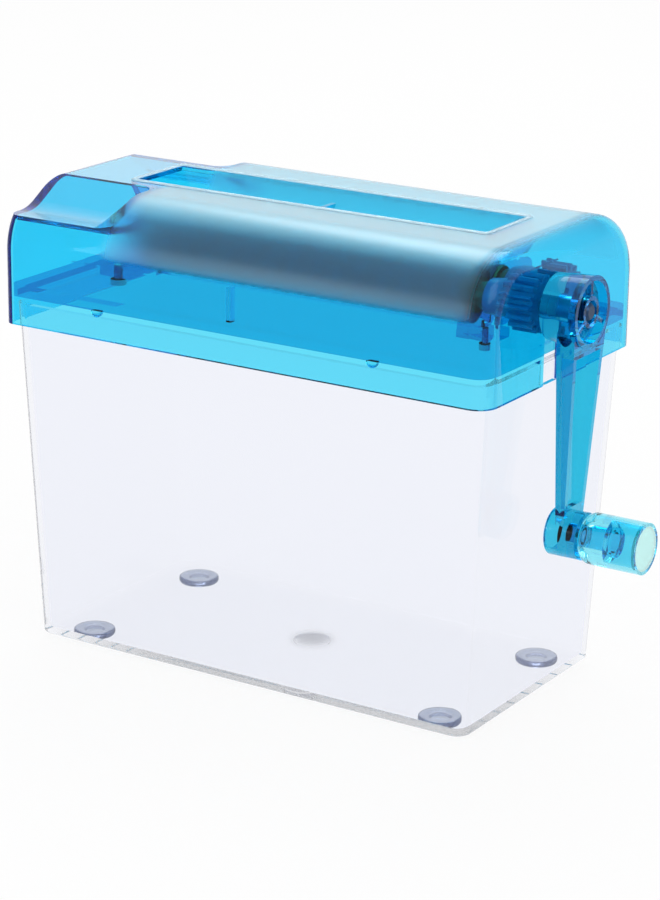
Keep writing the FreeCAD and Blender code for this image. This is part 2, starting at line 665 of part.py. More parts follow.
def base_plate():
    """Tray that closes the head from below: a plate with a rim, the strips' outlet and the screws' holes."""
    body = new_body("BasePlate")
    x = f"({INNER_LENGTH} / 2 - plate_clearance)"
    y = f"({INNER_DEPTH} / 2 - plate_clearance)"
    sketch = rectangle(body, "BasePlatePlan", "XY_Plane", (f"-{x}", f"-{y}"), (x, y), PLATE_EDGE_Z)
    slab = pad(body, "BasePlateSlab", sketch, "plate_rim + plate_thickness")
    far = fillet(body, "BasePlateFarCorners", slab, "far_end_round - cover_wall",
                 lambda b: upright(b) and b.XMax < 0)
    fillet(body, "BasePlateCrankCorners", far, "crank_end_round - cover_wall",
           lambda b: upright(b) and b.XMin > 0)
    inner_x = f"({x} - plate_rim_width)"
    inner_y = f"({y} - plate_rim_width)"
    under = rectangle(body, "UndersideOutline", "XY_Plane", (f"-{inner_x}", f"-{inner_y}"), (inner_x, inner_y),
                      PLATE_EDGE_Z)
    pocket(body, "Underside", under, "plate_rim", along_normal=True)
    low = (bearing_face(-1), "-outlet_depth / 2")
    high = (bearing_face(1), "outlet_depth / 2")
    window = rectangle(body, "OutletOutline", "XY_Plane", low, high, f"{FLOOR_Z} + {PAST}")
    opening = pocket(body, "Outlet", window, f"plate_thickness + 2 * {PAST}")
    fillet(body, "OutletCorners", opening, "outlet_corner",
           lambda b: upright(b) and near(abs(b.YMin), "outlet_depth / 2"))
    holes = circles(body, "ScrewHoles", "XY_Plane", screw_spots(), "screw_diameter + 2 * screw_clearance",
                    f"{FLOOR_Z} + {PAST}")
    pocket(body, "ScrewHolesCut", holes, f"plate_thickness + 2 * {PAST}")
    place(body)
    return keep(body, "base_plate")


def bearing_plate(label, side):
    """Upright plate for both shafts, with two ledges that the plate screws hold down."""
    name = label.title().replace("_", "")
    body = new_body(name)
    inner = bearing_face(side)
    low_x = inner if side > 0 else f"({inner} - bearing_thickness)"
    top = f"({AXIS_Z} + bearing_rise)"
    points = [("-bearing_width / 2", FLOOR_Z), ("bearing_width / 2", FLOOR_Z),
              ("bearing_top_width / 2", top), ("-bearing_top_width / 2", top)]
    upright_plate = pad(body, f"{name}Slab", outline(body, f"{name}Outline", "YZ_Plane", points, low_x),
                        "bearing_thickness")
    fillet(body, f"{name}Round", upright_plate, "bearing_round",
           lambda b: near(b.ZMin, top) and near(b.ZMax, top) and b.XLength > b.YLength)
    outer = f"({inner} + {side} * bearing_thickness)"
    tip = f"({outer} + {side} * ledge_length)"
    for row, row_name in ((-1, "Front"), (1, "Rear")):
        edge = f"({row} * bearing_width / 2)"
        inward = f"({edge} - {row} * ledge_width)"
        low = (min(outer, tip, key=number), min(edge, inward, key=number))
        high = (max(outer, tip, key=number), max(edge, inward, key=number))
        ledge = rectangle(body, f"{name}{row_name}LedgePlan", "XY_Plane", low, high, FLOOR_Z)
        pad(body, f"{name}{row_name}Ledge", ledge, "ledge_height")
    bores = circles(body, f"{name}BoreCircles", "YZ_Plane",
                    [(f"-{SHAFT_Y}", AXIS_Z), (SHAFT_Y, AXIS_Z)], "bush_diameter + 2 * screw_clearance", low_x)
    pocket(body, f"{name}Bores", bores, "bearing_thickness", along_normal=True)
    spots = screw_spots()[2:] if side > 0 else screw_spots()[:2]
    holes = circles(body, f"{name}HoleCircles", "XY_Plane", spots, "screw_diameter + 2 * screw_clearance",
                    FLOOR_Z)
    pocket(body, f"{name}Holes", holes, "ledge_height", along_normal=True)
    place(body)
    return keep(body, label)


def plate_screws():
    """Four screws, heads under the base plate and shanks up through the bearing plates' ledges."""
    spots = [Vector(number(x), number(y), number(PLATE_Z)) for x, y in screw_spots()]
    head_height = number("screw_head_height")
    shank_length = number("plate_thickness + ledge_height")
    solids = []
    for spot in spots:
        under = spot - Vector(0, 0, head_height)
        head = Part.makeCylinder(number("screw_head_diameter / 2"), head_height, under)
        shank = Part.makeCylinder(number("screw_diameter / 2"), shank_length, spot)
        solids.append(head.fuse(shank).removeSplitter())
    return keep_group("bearing_plate_screws", solids)


def keep_group(label, solids):
    """A node of several separate solids, placed with the housing."""
    item = doc.addObject("Part::Feature", label.title().replace("_", ""))
    item.Shape = Part.Compound(solids)
    place(item)
    return keep(item, label)


def bush(label, side, row):
    """Flanged bush, its barrel in the bearing plate and its flange towards the cutters."""
    name = label.title().replace("_", "")
    body = new_body(name)
    bore = "(journal_diameter / 2 + running_clearance)"
    barrel = "bush_diameter / 2"
    flange = "flange_diameter / 2"
    points = [("-flange_thickness", bore), ("bearing_thickness", bore), ("bearing_thickness", barrel),
              ("0", barrel), ("0", flange), ("-flange_thickness", flange)]
    revolve(body, f"{name}Turned", points)
    if side < 0:
        body.Placement = Placement(Vector(), Rotation(Vector(0, 0, 1), 180))
    place(body, bearing_face(side), f"{row} * {SHAFT_Y}", AXIS_Z)
    return keep(body, label)


def comb(label, row, gaps, first_gap):
    """Stripper comb under the nip: a bar between the bearing plates and a finger in each gap between discs."""
    name = label.title().replace("_", "")
    body = new_body(name)
    lift = f"({FLOOR_Z} - comb_drop)"
    low_y, high_y = sorted((f"{row} * comb_inner", f"{row} * (comb_inner + comb_width)"), key=number)
    bar = rectangle(body, f"{name}BarPlan", "XY_Plane", (bearing_face(-1), low_y), (bearing_face(1), high_y),
                    lift)
    pad(body, f"{name}Bar", bar, "comb_height")
    middle = f"({first_gap} + {SPACER_WIDTH} / 2)"
    finger = rectangle(body, f"{name}FingerPlan", "XY_Plane", (f"{middle} - finger_width / 2", low_y),
                       (f"{middle} + finger_width / 2", high_y), lift)
    one = pad(body, f"{name}Finger", finger, "finger_height")
    row_of_fingers = body.newObject("PartDesign::LinearPattern", f"{name}Fingers")
    row_of_fingers.Originals = [one]
    row_of_fingers.Direction = (finger, ["H_Axis"])
    bind(row_of_fingers, "Length", f"({gaps} - 1) * {PITCH}")
    bind(row_of_fingers, "Occurrences", gaps)
    body.Tip = row_of_fingers
    place(body)
    return keep(body, label)


# Shafts, cutters and gears

STACK_START = f"(roller_centre - {STACK_LENGTH} / 2)"
CLIP_BACK = f"({bearing_face(-1)} - bearing_thickness - clip_gap - clip_thickness)"
GEAR_CLIP_X = f"({GEAR_X} + gear_width + clip_gap)"


def shaft(label, row, end, clip_grooves, tip_hole):
    """Stepped shaft: round ends with clip grooves and a hexagon under the cutters."""
    name = label.title().replace("_", "")
    body = new_body(name)
    full = "journal_diameter / 2"
    neck = f"({full} - clip_groove)"
    start = f"({CLIP_BACK} - shaft_stub)"
    points = [(start, "0"), (start, full)]
    for groove in clip_grooves:
        points += [(groove, full), (groove, neck)]
        points += [(f"{groove} + clip_thickness", neck), (f"{groove} + clip_thickness", full)]
    points += [(end, full), (end, "0")]
    if tip_hole:
        hole = "(crank_screw_diameter / 2 + screw_clearance)"
        depth = f"({end} - crank_screw_length)"
        points[-1:] = [(end, hole), (depth, hole), (depth, "0")]
    revolve(body, f"{name}Turned", points)
    flats = outline(body, f"{name}Hexagon", "YZ_Plane", hexagon("shaft_flats"), STACK_START)
    pad(body, f"{name}Flats", flats, STACK_LENGTH)
    place(body, "0", f"{row} * {SHAFT_Y}", AXIS_Z)
    return keep(body, label)


def ring_on_hexagon(name, diameter, width):
    """Disc with the shaft's hexagon through it, at the origin and along X."""
    body = new_body(name)
    sketch = new_sketch(body, f"{name}Outline", "YZ_Plane", "0")
    add_circle(sketch, ("0", "0"), diameter)
    add_outline(sketch, hexagon("(shaft_flats + 2 * hex_clearance)"))
    pad(body, f"{name}Disc", sketch, width)
    return body.Shape.Solids[0]


def row_of(solid, starts, row):
    """Copies of a solid along one shaft."""
    y, z = number(f"{row} * {SHAFT_Y}"), number(AXIS_Z)
    return [solid.translated(Vector(x, y, z)) for x in starts]


def cutter_stacks():
    """Discs and spacers on both shafts: each rear disc runs in a gap between two front discs."""
    count = int(number("disc_count"))
    pitch = number(PITCH)
    start = number(STACK_START)
    disc_starts = [start + step * pitch for step in range(count)]
    gap_starts = [x + number("disc_width") for x in disc_starts[:-1]]
    disc = ring_on_hexagon("CutterDisc", "disc_diameter", "disc_width")
    spacer = ring_on_hexagon("Spacer", "spacer_diameter", SPACER_WIDTH)
    side_gap = number("disc_side_gap")
    rear_discs = [x + side_gap for x in gap_starts]
    rear_spacers = [x - side_gap for x in disc_starts[1:-1]]
    end_spacer = ring_on_hexagon("EndSpacer", "spacer_diameter", "disc_width + disc_side_gap")
    keep_group("front_cutter_discs", row_of(disc, disc_starts, -1))
    keep_group("front_spacers", row_of(spacer, gap_starts, -1))
    keep_group("rear_cutter_discs", row_of(disc, rear_discs, 1))
    keep_group("rear_spacers", row_of(spacer, rear_spacers, 1)
               + row_of(end_spacer, [disc_starts[0], disc_starts[-1] - side_gap], 1))


def clip(label, x, row):
    """Spring clip in a shaft's groove: a ring with an open side."""
    name = label.title().replace("_", "")
    body = new_body(name)
    ring = circles(body, f"{name}Outline", "YZ_Plane", [("0", "0")], "clip_diameter")
    add_circle(ring, ("0", "0"), "journal_diameter - 2 * clip_groove + 2 * screw_clearance")
    pad(body, f"{name}Ring", ring, "clip_thickness")
    mouth = rectangle(body, f"{name}MouthOutline", "YZ_Plane", ("-clip_mouth / 2", "-clip_diameter"),
                      ("clip_mouth / 2", "0"))
    pocket(body, f"{name}Mouth", mouth, "clip_thickness", along_normal=True)
    place(body, x, f"{row} * {SHAFT_Y}", AXIS_Z)
    return keep(body, label)


def gear(label, row, half_tooth_on):
    """Spur gear with a hub on its bearing side. Its pitch diameter is the distance between the shafts."""
    name = label.title().replace("_", "")
    body = new_body(name)
    root = "(shaft_spacing / 2 - tooth_root)"
    core = circles(body, f"{name}CoreCircle", "YZ_Plane", [("0", "0")], f"2 * {root}")
    pad(body, f"{name}Core", core, "gear_width")
    tooth = outline(body, f"{name}ToothOutline", "YZ_Plane", tooth_points())
    one = pad(body, f"{name}Tooth", tooth, "gear_width")
    polar(body, f"{name}Teeth", one, tooth, "gear_teeth")
    hub_length = f"({GEAR_X} - {bearing_face(1)} - bearing_thickness - gear_hub_gap)"
    hub = circles(body, f"{name}HubCircle", "YZ_Plane", [("0", "0")], "gear_hub_diameter", f"-{hub_length}")
    pad(body, f"{name}Hub", hub, hub_length)
    bore_diameter = "journal_diameter + 2 * screw_clearance"
    bore = circles(body, f"{name}BoreCircle", "YZ_Plane", [("0", "0")], bore_diameter, "gear_width")
    pocket(body, f"{name}Bore", bore, f"gear_width + {hub_length} + {PAST}")
    if half_tooth_on:
        bind(body, "Placement.Rotation.Angle", "180 / gear_teeth")
        body.Placement.Rotation.Axis = Vector(1, 0, 0)
    place(body, GEAR_X, f"{row} * {SHAFT_Y}", AXIS_Z)
    return keep(body, label)


def tooth_points():
    """One tooth along +Y: the flanks narrow from the root to the pitch circle, and faster to the tip."""
    pitch_radius = "(shaft_spacing / 2)"
    half = f"({math.pi / 4} * shaft_spacing / gear_teeth - tooth_backlash / 2)"
    tip_half = f"({half} - tooth_tip_lean * tooth_tip)"
    root_half = f"({half} + tooth_root_lean * tooth_root)"
    root = f"({pitch_radius} - tooth_root - tooth_tip / 2)"
    tip = f"({pitch_radius} + tooth_tip)"
    return [(root, f"-{root_half}"), (pitch_radius, f"-{half}"), (tip, f"-{tip_half}"),
            (tip, tip_half), (pitch_radius, half), (root, root_half)]


# Crank and grip

COUNTERBORE = "(washer_diameter + 2 * counterbore_gap)"
CLAMP_X = "(hub_bore_depth + hub_web)"


def hub_cut_points():
    """Half section of what is cut from the hub: shaft's bore, screw's hole, counterbore and ring recess."""
    bore = "(journal_diameter / 2 + screw_clearance)"
    screw = "(crank_screw_diameter / 2 + screw_clearance)"
    rim = "(hub_face_diameter / 2 - hub_rim)"
    floor = "(hub_length - hub_recess)"
    boss_face = "(hub_length - hub_boss_drop)"
    outside = f"(hub_length + {PAST})"
    return [(f"-{PAST}", "0"), (f"-{PAST}", bore), ("hub_bore_depth", bore), ("hub_bore_depth", screw),
            (CLAMP_X, screw), (CLAMP_X, f"{COUNTERBORE} / 2"), (boss_face, f"{COUNTERBORE} / 2"),
            (boss_face, "hub_boss_diameter / 2"), (floor, "hub_boss_diameter / 2"), (floor, rim),
            (outside, rim), (outside, "0")]


def crank_arm():
    """Crank in one moulding: hub, tapered channel arm that hangs down at rest, and boss for the grip's pin."""
    body = new_body("CrankArm")
    revolve(body, "CrankHub", [("0", "0"), ("0", "hub_diameter / 2"), ("hub_length", "hub_face_diameter / 2"),
                               ("hub_length", "0")])
    spans = [(("arm_inset", f"(arm_inset + arm_{end}_thickness)"), even(f"arm_{end}_width / 2"))
             for end in ("end", "top")]
    upright_wedge(body, "Arm", "PartDesign::AdditiveWedge", spans, ("-crank_radius", "0"))
    middle = [("0", "-crank_radius")]
    boss = circles(body, "BossCircle", "YZ_Plane", middle, "boss_diameter", "boss_inset")
    pad(body, "Boss", boss, "boss_length")
    revolve(body, "HubCut", hub_cut_points(), kind="PartDesign::Groove")
    rib_low = ("-hub_rib / 2", "hub_boss_diameter / 2 - hub_boss_drop")
    rib_high = ("hub_rib / 2", "hub_face_diameter / 2 - hub_rim / 2")
    rib = rectangle(body, "HubRibOutline", "YZ_Plane", rib_low, rib_high, "hub_length - hub_recess")
    one = pad(body, "HubRib", rib, "hub_recess - hub_boss_drop")
    polar(body, "HubRibs", one, rib, "hub_rib_count")
    pocket(body, "Channel", channel_outline(body), "arm_top_thickness", along_normal=True)
    hollow_diameter = "boss_diameter - 2 * boss_wall"
    hollow = circles(body, "BossHollowCircle", "YZ_Plane", middle, hollow_diameter, "boss_inset")
    pocket(body, "BossHollow", hollow, "boss_hollow", along_normal=True)
    hole = circles(body, "PinHoleCircle", "YZ_Plane", middle, "pin_press_diameter + 2 * screw_clearance",
                   "boss_inset + boss_length")
    pocket(body, "PinHole", hole, "pin_press_depth")
    place(body, CRANK_X, f"-{SHAFT_Y}", AXIS_Z)
    return keep(body, "crank_arm")


def channel_outline(body):
    """The arm's channel, open away from the housing, between the hub and the boss."""
    top = "-(hub_face_diameter / 2 + arm_wall)"
    low = "-(crank_radius - boss_diameter / 2 - arm_wall)"

    def half(z):
        """Half the channel's width where the arm has tapered down to z."""
        share = f"(-({z}) / crank_radius)"
        return f"((arm_top_width + (arm_end_width - arm_top_width) * {share}) / 2 - arm_wall)"

    points = [(f"-{half(top)}", top), (half(top), top), (half(low), low), (f"-{half(low)}", low)]
    return outline(body, "ChannelOutline", "YZ_Plane", points, "arm_inset + arm_web")


def crank_washer():
    body = new_body("CrankWasher")
    bore = "(crank_screw_diameter / 2 + screw_clearance)"
    points = [("0", bore), ("washer_thickness", bore), ("washer_thickness", "washer_diameter / 2"),
              ("0", "washer_diameter / 2")]
    revolve(body, "CrankWasherTurned", points)
    place(body, f"{CRANK_X} + {CLAMP_X}", f"-{SHAFT_Y}", AXIS_Z)
    return keep(body, "crank_washer")


def crank_screw():
    """Screw along X, its head on the washer and its shank in the shaft's end."""
    body = new_body("CrankScrew")
    shank = "crank_screw_diameter / 2"
    head = "crank_head_diameter / 2"
    tip = "-(washer_thickness + hub_web + crank_screw_length)"
    points = [(tip, "0"), (tip, shank), ("0", shank), ("0", head), ("crank_head_height / 2", head),
              ("crank_head_height", f"{head} - crank_head_height / 2"), ("crank_head_height", "0")]
    revolve(body, "CrankScrewTurned", points)
    place(body, f"{CRANK_X} + {CLAMP_X} + washer_thickness", f"-{SHAFT_Y}", AXIS_Z)
    return keep(body, "crank_screw")


def grip_pin():
    """Pin pressed into the arm's boss, with a head inside the grip that keeps the grip on."""
    body = new_body("GripPin")
    press = "pin_press_diameter / 2"
    full = "pin_diameter / 2"
    neck = "(2 * grip_gap + grip_bearing)"
    end = f"({neck} + pin_head_length)"
    points = [("-pin_press_depth", "0"), ("-pin_press_depth", press), ("0", press), ("0", full), (neck, full),
              (neck, "pin_head_diameter / 2"), (end, "pin_head_diameter / 2"), (end, "0")]
    revolve(body, "GripPinTurned", points)
    place(body, BOSS_X, f"-{SHAFT_Y}", GRIP_Z)
    return keep(body, "grip_pin")


def crank_grip():
    """Hollow sleeve that turns on the pin: round inner end, bearing, and a seat for the end cap."""
    body = new_body("CrankGrip")
    bore = "(pin_diameter / 2 + running_clearance)"
    edge = "grip_diameter / 2"
    hollow = f"({CAP_SEAT} - cap_ledge)"
    points = [("0", bore), ("0", edge), ("grip_length", edge), ("grip_length", CAP_SEAT), (CAP_X, CAP_SEAT),
              (CAP_X, hollow), ("grip_bearing", hollow), ("grip_bearing", bore)]
    turned = revolve(body, "CrankGripTurned", points)
    fillet(body, "CrankGripRound", turned, "grip_round",
           lambda b: near(b.XMax, "0") and near(b.ZMax, edge))
    place(body, GRIP_X, f"-{SHAFT_Y}", GRIP_Z)
    return keep(body, "crank_grip")


def grip_cap():
    """Disc pressed into the grip's outer end."""
    body = new_body("GripCap")
    disc = circles(body, "GripCapCircle", "YZ_Plane", [("0", "0")], f"2 * ({CAP_SEAT} - screw_clearance)")
    pad(body, "GripCapDisc", disc, "cap_thickness")
    place(body, f"{GRIP_X} + {CAP_X}", f"-{SHAFT_Y}", GRIP_Z)
    return keep(body, "grip_cap")


def build():
    """Make every piece."""
    fill_sheet()
    collection_bin()
    for side_y, row_name in ((-1, "front"), (1, "rear")):
        for side_x, side_name in ((-1, "left"), (1, "right")):
            foot(f"foot_{row_name}_{side_name}", side_x, side_y)
    top_cover()
    base_plate()
    for side, side_name in ((-1, "left"), (1, "right")):
        bearing_plate(f"{side_name}_bearing_plate", side)
        for row, row_name in ((-1, "front"), (1, "rear")):
            bush(f"{row_name}_{side_name}_bush", side, row)
    plate_screws()
    first_gap = f"({STACK_START} + disc_width)"
    comb("front_stripper_comb", -1, "(disc_count - 1)", first_gap)
    comb("rear_stripper_comb", 1, "(disc_count - 2)", f"({first_gap} + {PITCH} / 2)")
    shaft("front_shaft", -1, f"({CRANK_X} + hub_bore_depth)", [CLIP_BACK], tip_hole=True)
    rear_end = f"({GEAR_CLIP_X} + clip_thickness + shaft_stub)"
    shaft("rear_shaft", 1, rear_end, [CLIP_BACK, GEAR_CLIP_X], tip_hole=False)
    cutter_stacks()
    gear("drive_gear", -1, half_tooth_on=False)
    gear("driven_gear", 1, half_tooth_on=True)
    clip("front_shaft_clip", CLIP_BACK, -1)
    clip("rear_shaft_clip", CLIP_BACK, 1)
    clip("rear_gear_clip", GEAR_CLIP_X, 1)
    crank_arm()
    crank_washer()
    crank_screw()
    grip_pin()
    crank_grip()
    grip_cap()
    doc.recompute()


def check():
    """Stop if any object failed or any piece has no sound shape."""
    for item in doc.Objects:
        if {"Invalid", "Error"} & set(item.State):
            raise RuntimeError(f"{item.Name} failed: {item.State}")
    for item in pieces:
        if item.Shape.isNull() or not item.Shape.isValid() or not item.Shape.Solids:
            raise RuntimeError(f"{item.Label} has no sound shape")


def write():
    os.makedirs("parts", exist_ok=True)
    for item in pieces:
        item.Shape.exportStep(f"parts/{item.Label}.step")


build()
check()
write()
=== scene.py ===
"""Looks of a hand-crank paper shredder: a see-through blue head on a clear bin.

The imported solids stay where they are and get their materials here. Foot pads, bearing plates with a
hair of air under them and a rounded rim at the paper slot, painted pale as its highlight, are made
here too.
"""

import bmesh
import bpy
import numpy as np
from bpy.props import FloatProperty, FloatVectorProperty, PointerProperty
from mathutils import Matrix, Vector


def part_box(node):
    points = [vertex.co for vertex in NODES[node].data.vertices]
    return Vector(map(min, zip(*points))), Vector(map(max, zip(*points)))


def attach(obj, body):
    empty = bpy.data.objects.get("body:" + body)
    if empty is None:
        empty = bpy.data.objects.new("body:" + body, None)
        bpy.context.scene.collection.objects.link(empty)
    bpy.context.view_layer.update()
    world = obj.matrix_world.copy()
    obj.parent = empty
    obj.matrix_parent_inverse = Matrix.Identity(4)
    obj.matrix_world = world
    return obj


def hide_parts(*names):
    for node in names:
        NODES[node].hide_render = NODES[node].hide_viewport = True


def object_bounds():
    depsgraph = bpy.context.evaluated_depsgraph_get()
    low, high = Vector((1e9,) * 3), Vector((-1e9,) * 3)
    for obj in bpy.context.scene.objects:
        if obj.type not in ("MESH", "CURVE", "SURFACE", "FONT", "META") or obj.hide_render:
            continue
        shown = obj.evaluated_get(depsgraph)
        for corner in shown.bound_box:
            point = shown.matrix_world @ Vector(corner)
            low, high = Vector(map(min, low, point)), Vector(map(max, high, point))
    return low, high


bl_info = {
    "name": "Paper Shredder Looks",
    "version": (1, 0, 0),
    "blender": (4, 5, 0),
    "location": "3D View > Sidebar > Shredder",
    "description": "Materials, fine edges and studio for a hand-crank paper shredder",
    "category": "Object",
}

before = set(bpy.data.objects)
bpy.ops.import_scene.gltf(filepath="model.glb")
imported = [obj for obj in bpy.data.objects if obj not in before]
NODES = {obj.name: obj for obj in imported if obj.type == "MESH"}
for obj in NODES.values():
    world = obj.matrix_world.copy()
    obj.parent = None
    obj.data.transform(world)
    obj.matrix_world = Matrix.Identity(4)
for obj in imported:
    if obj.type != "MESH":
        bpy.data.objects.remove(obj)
CAD_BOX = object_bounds()
MM = 0.001
ROWS = ("front", "rear")
SIDES = ("left", "right")
FEET = [f"{row}_{side}" for row in ROWS for side in SIDES]

# The dome's satin finish, with its painted pale top, begins and ends at these distances in the
# cover's box: in from its left end, down from its top and in from its right end
DOME_LEFT = 39 * MM
DOME_DROP = 16.9 * MM
DOME_RIGHT = 6 * MM
# It comes in over these distances: below that height, its sheen more sharply, and about each end
SATIN_RISE = 3 * MM
SHEEN_RISE = 0.6 * MM
LEFT_FADE = (-3 * MM, 4 * MM)
RIGHT_FADE = (-5 * MM, 3 * MM)
# It follows the upward part of a face's normal, which is 0 on an upright wall and 1 on a level face
ROUGH_BEND = {"From Min": 0.02, "From Max": 0.16}
SHEEN_BEND = {"From Min": 0.02, "From Max": 0.12, "To Max": 0.7}
SHEEN_LEVEL = {"From Min": 0.6, "From Max": 0.9}
MILKY_TOP = {"From Min": 0.75, "From Max": 1.0, "To Min": 1.0, "To Max": 0.75}
# Painted highlight: the dome's level top is painted paler, towards white, for the light from above
PAINTED_PALE_TOP = {"From Min": 0.7, "From Max": 0.95}
PAINTED_PALE_TINT = 0.28
SHEEN_IOR = 1.5
SHEEN_ROUGHNESS = 0.27

# Mark of the moulding gate under the bin: where it begins to fade and where it ends, and its frost
# and tone
GATE_CORE = 2.5 * MM
GATE_RIM = 9.5 * MM
GATE_FROST = 0.5
GATE_TONE = 0.72

# Patterns, in millimetres across: finger smudges, flow waves and drifts of tone
SMUDGE_SIZE = 26
FLOW_SIZE = 14
PLASTIC_DRIFT = 18
METAL_DRIFT = 7
FLOOR_DRIFT = 400
# Darkest and lightest tone of each drift, against the colour
PLASTIC_TONES = (0.92, 1.06)
METAL_TONES = (0.86, 1.1)
FLOOR_TONE = 0.99
# How far the roughness goes to each side with the moulded grain and with the turning marks
GRAIN_SPREAD = 0.06
RING_SPREAD = 0.08
# The part of the smudge pattern that shows, and the roughness of clean plastic
SMUDGED = {"From Min": 0.35, "From Max": 0.75, "To Min": 0.012}
# Depth of flow waves, moulded grain and turning marks
RELIEF = 0.02 * MM

# Air between clear pieces that touch in one plane, where light would otherwise stay and go black
LIP_GAP = 0.03 * MM
PLATE_GAP = 0.05 * MM
# Round of the slot's corners, and how near a solid's loose points are to be one
LIP_CORNER = 0.6 * MM
MERGE_DISTANCE = 0.001 * MM
# Edges that turn by more than this stay sharp
LIP_SHARP = np.radians(50)
PLATE_SHARP = np.radians(30)

# Foot pad from its dimple to its top, as shares of its solid's radius and height
PAD_PROFILE = (
    (0.0, 0.42), (0.30, 0.41), (0.40, 0.30), (0.46, 0.06), (0.52, 0.02), (0.90, 0.02),
    (0.96, 0.07), (0.995, 0.24), (1.0, 0.60), (0.985, 0.85), (0.94, 0.95), (0.70, 0.97),
    (0.62, 0.90), (0.50, 0.86), (0.38, 0.90), (0.30, 0.97), (0.0, 0.97))
PAD_WALL = 2.0 * MM

# Soft boxes: place, width and height in metres, and brightness against a white surface in the room
SOFT_BOXES = {
    "Back soft box": ((-0.4, 0.75, 1.25), (0.8, 0.8), 3.0),
    "Strip soft box": ((-0.6, -1.0, 0.40), (0.3, 0.42), 3.0),
    "Side soft box": ((1.0, -0.3, 0.8), (0.6, 0.6), 2.6),
}
# Floor from its middle to each edge and how far the camera sees, in metres, and the camera's film
# in millimetres
FLOOR_REACH = 4.0
FLOOR_POINTS = 9
VIEW_REACH = 20
FILM_SIDE = 36
# Light passes many clear walls before it reaches the eye
BOUNCES = 64

# Colour sockets of a Mix node, which share their names with its other sockets
MIX_FROM, MIX_TO, MIXED = 6, 7, 2


def centre(node):
    """Middle of a solid's box."""
    low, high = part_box(node)
    return (low + high) / 2


SHAFTS = {row: centre(f"{row}_shaft") for row in ROWS}


def linear(code):
    """An sRGB hex colour as linear red, green and blue, by the standard's curve."""
    parts = np.array([int(code[i:i + 2], 16) for i in (1, 3, 5)]) / 255
    return tuple(np.where(parts <= 0.04045, parts / 12.92, ((parts + 0.055) / 1.055) ** 2.4))


def colour(name, description, code):
    """A colour property whose default is an sRGB hex value."""
    return FloatVectorProperty(name=name, description=description, subtype="COLOR", size=3,
                               min=0, max=1, default=linear(code))


def length(name, description, millimetres):
    """A length property whose default is given in millimetres."""
    return FloatProperty(name=name, description=description, unit="LENGTH",
                         default=millimetres * MM)


def share(name, description, default):
    """A property from none to all."""
    return FloatProperty(name=name, description=description, subtype="FACTOR", min=0, max=1,
                         default=default)


class ShredderPlastics(bpy.types.PropertyGroup):
    """Colours and walls of the moulded pieces."""
    head_skin: colour("Head skin", "Tint of each wall of the head, however thick", "#85ECFF")
    head_depth: colour("Head depth", "Tint that one wall's thickness of it adds", "#CBF7FC")
    head_wall: length("Head wall", "Wall thickness that the depth tint is given for", 1.8)
    dome_satin: share("Dome satin", "Roughness of the satin dome above the walls", 0.42)
    plate_skin: colour("Plate skin", "Tint of the plates and combs inside the head", "#30C6E6")
    crank_skin: colour("Crank skin", "Tint of each wall of the crank, however thick", "#3ACBE8")
    crank_depth: colour("Crank depth", "Tint that one wall's thickness of it adds", "#F0F8FB")
    grip_skin: colour("Grip skin", "Tint of the paler grip", "#84E4F6")
    # Painted highlight: the slot's rim is tinted pale and made milky so that it draws a bright line
    lip_painted_highlight: colour("Lip skin", "Tint of the thin rim round the slot", "#D9F4FF")
    cap_skin: colour("Grip end skin", "Tint of the disc in the grip's end", "#D5FFFA")
    bin_skin: colour("Bin skin", "Tint of each wall of the clear bin, however thick", "#F9FAFE")
    bin_depth: colour("Bin depth", "Tint that one wall's thickness of it adds", "#FEFEFE")
    bin_wall: length("Bin wall", "Wall thickness that the depth tint is given for", 2.0)
    gear_colour: colour("Gears", "Moulded gears", "#247AB0")
    foot_skin: colour("Foot skin", "Tint of the soft clear pads", "#CCD3DC")
    foot_depth: colour("Foot depth", "Tint that a pad's thickness adds", "#E8EAF0")


class ShredderMetals(bpy.types.PropertyGroup):
    """Colours of the metal pieces."""
    cutter_colour: colour("Cutters", "Ground steel of the discs", "#3A5878")
    shaft_colour: colour("Shafts", "Bright turned steel of the shafts", "#B4C0CC")
    spacer_colour: colour("Spacers", "Turned steel of the spacers", "#3C5068")
    bush_colour: colour("Bushes", "Sintered bronze of the bushes", "#A98454")
    fastener_colour: colour("Fasteners", "Zinc plate of the plate screws and clips", "#C3C6CB")
    screw_colour: colour("Crank screw", "Blued steel of the hub's screw and washer", "#2F4460")


class ShredderSizes(bpy.types.PropertyGroup):
    """Sizes of the fine forms that the solids leave out."""
    slot_length: length("Slot length", "Paper slot along X", 127)
    slot_width: length("Slot width", "Paper slot along Y", 26)
    slot_shift: length("Slot shift", "Slot's middle from the cover's middle, along X", 3.5)
    lip_width: length("Lip width", "Rounded rim round the slot", 1.6)
    lip_height: length("Lip height", "Rim above the cover's top", 0.55)


class ShredderStudio(bpy.types.PropertyGroup):
    """Camera, floor and light."""
    camera_place: FloatVectorProperty(
        name="Camera place", description="Where the camera stands", unit="LENGTH",
        subtype="TRANSLATION", default=(0.44941, -0.73300, 0.34323))
    camera_turn: FloatProperty(
        name="Camera turn", description="Camera's direction round the object, in degrees",
        default=32.14)
    camera_tilt: FloatProperty(
        name="Camera tilt", description="Camera's height angle, in degrees", default=17.59)
    camera_roll: FloatProperty(
        name="Camera roll", description="Camera's roll, in degrees", default=0.75)
    lens: FloatProperty(
        name="Lens", description="Focal length in millimetres on a 36 mm long side",
        default=114.68, min=1)
    floor_colour: colour("Floor", "Plain pale floor", "#FEFEFE")
    backdrop_share: share("Backdrop share", "How far the floor shows as a white backdrop", 0.93)
    daylight: FloatProperty(
        name="Room light", description="Strength of the even light from all round",
        default=0.82, min=0)


def add(tree, kind, links=(), sockets=(), **settings):
    """Add a node, set its settings and input values, and link other nodes' outputs into it."""
    node = tree.nodes.new(kind)
    for key, value in settings.items():
        setattr(node, key, value)
    for key, value in dict(sockets).items():
        node.inputs[key].default_value = value
    for key, source in dict(links).items():
        tree.links.new(source, node.inputs[key])
    return node


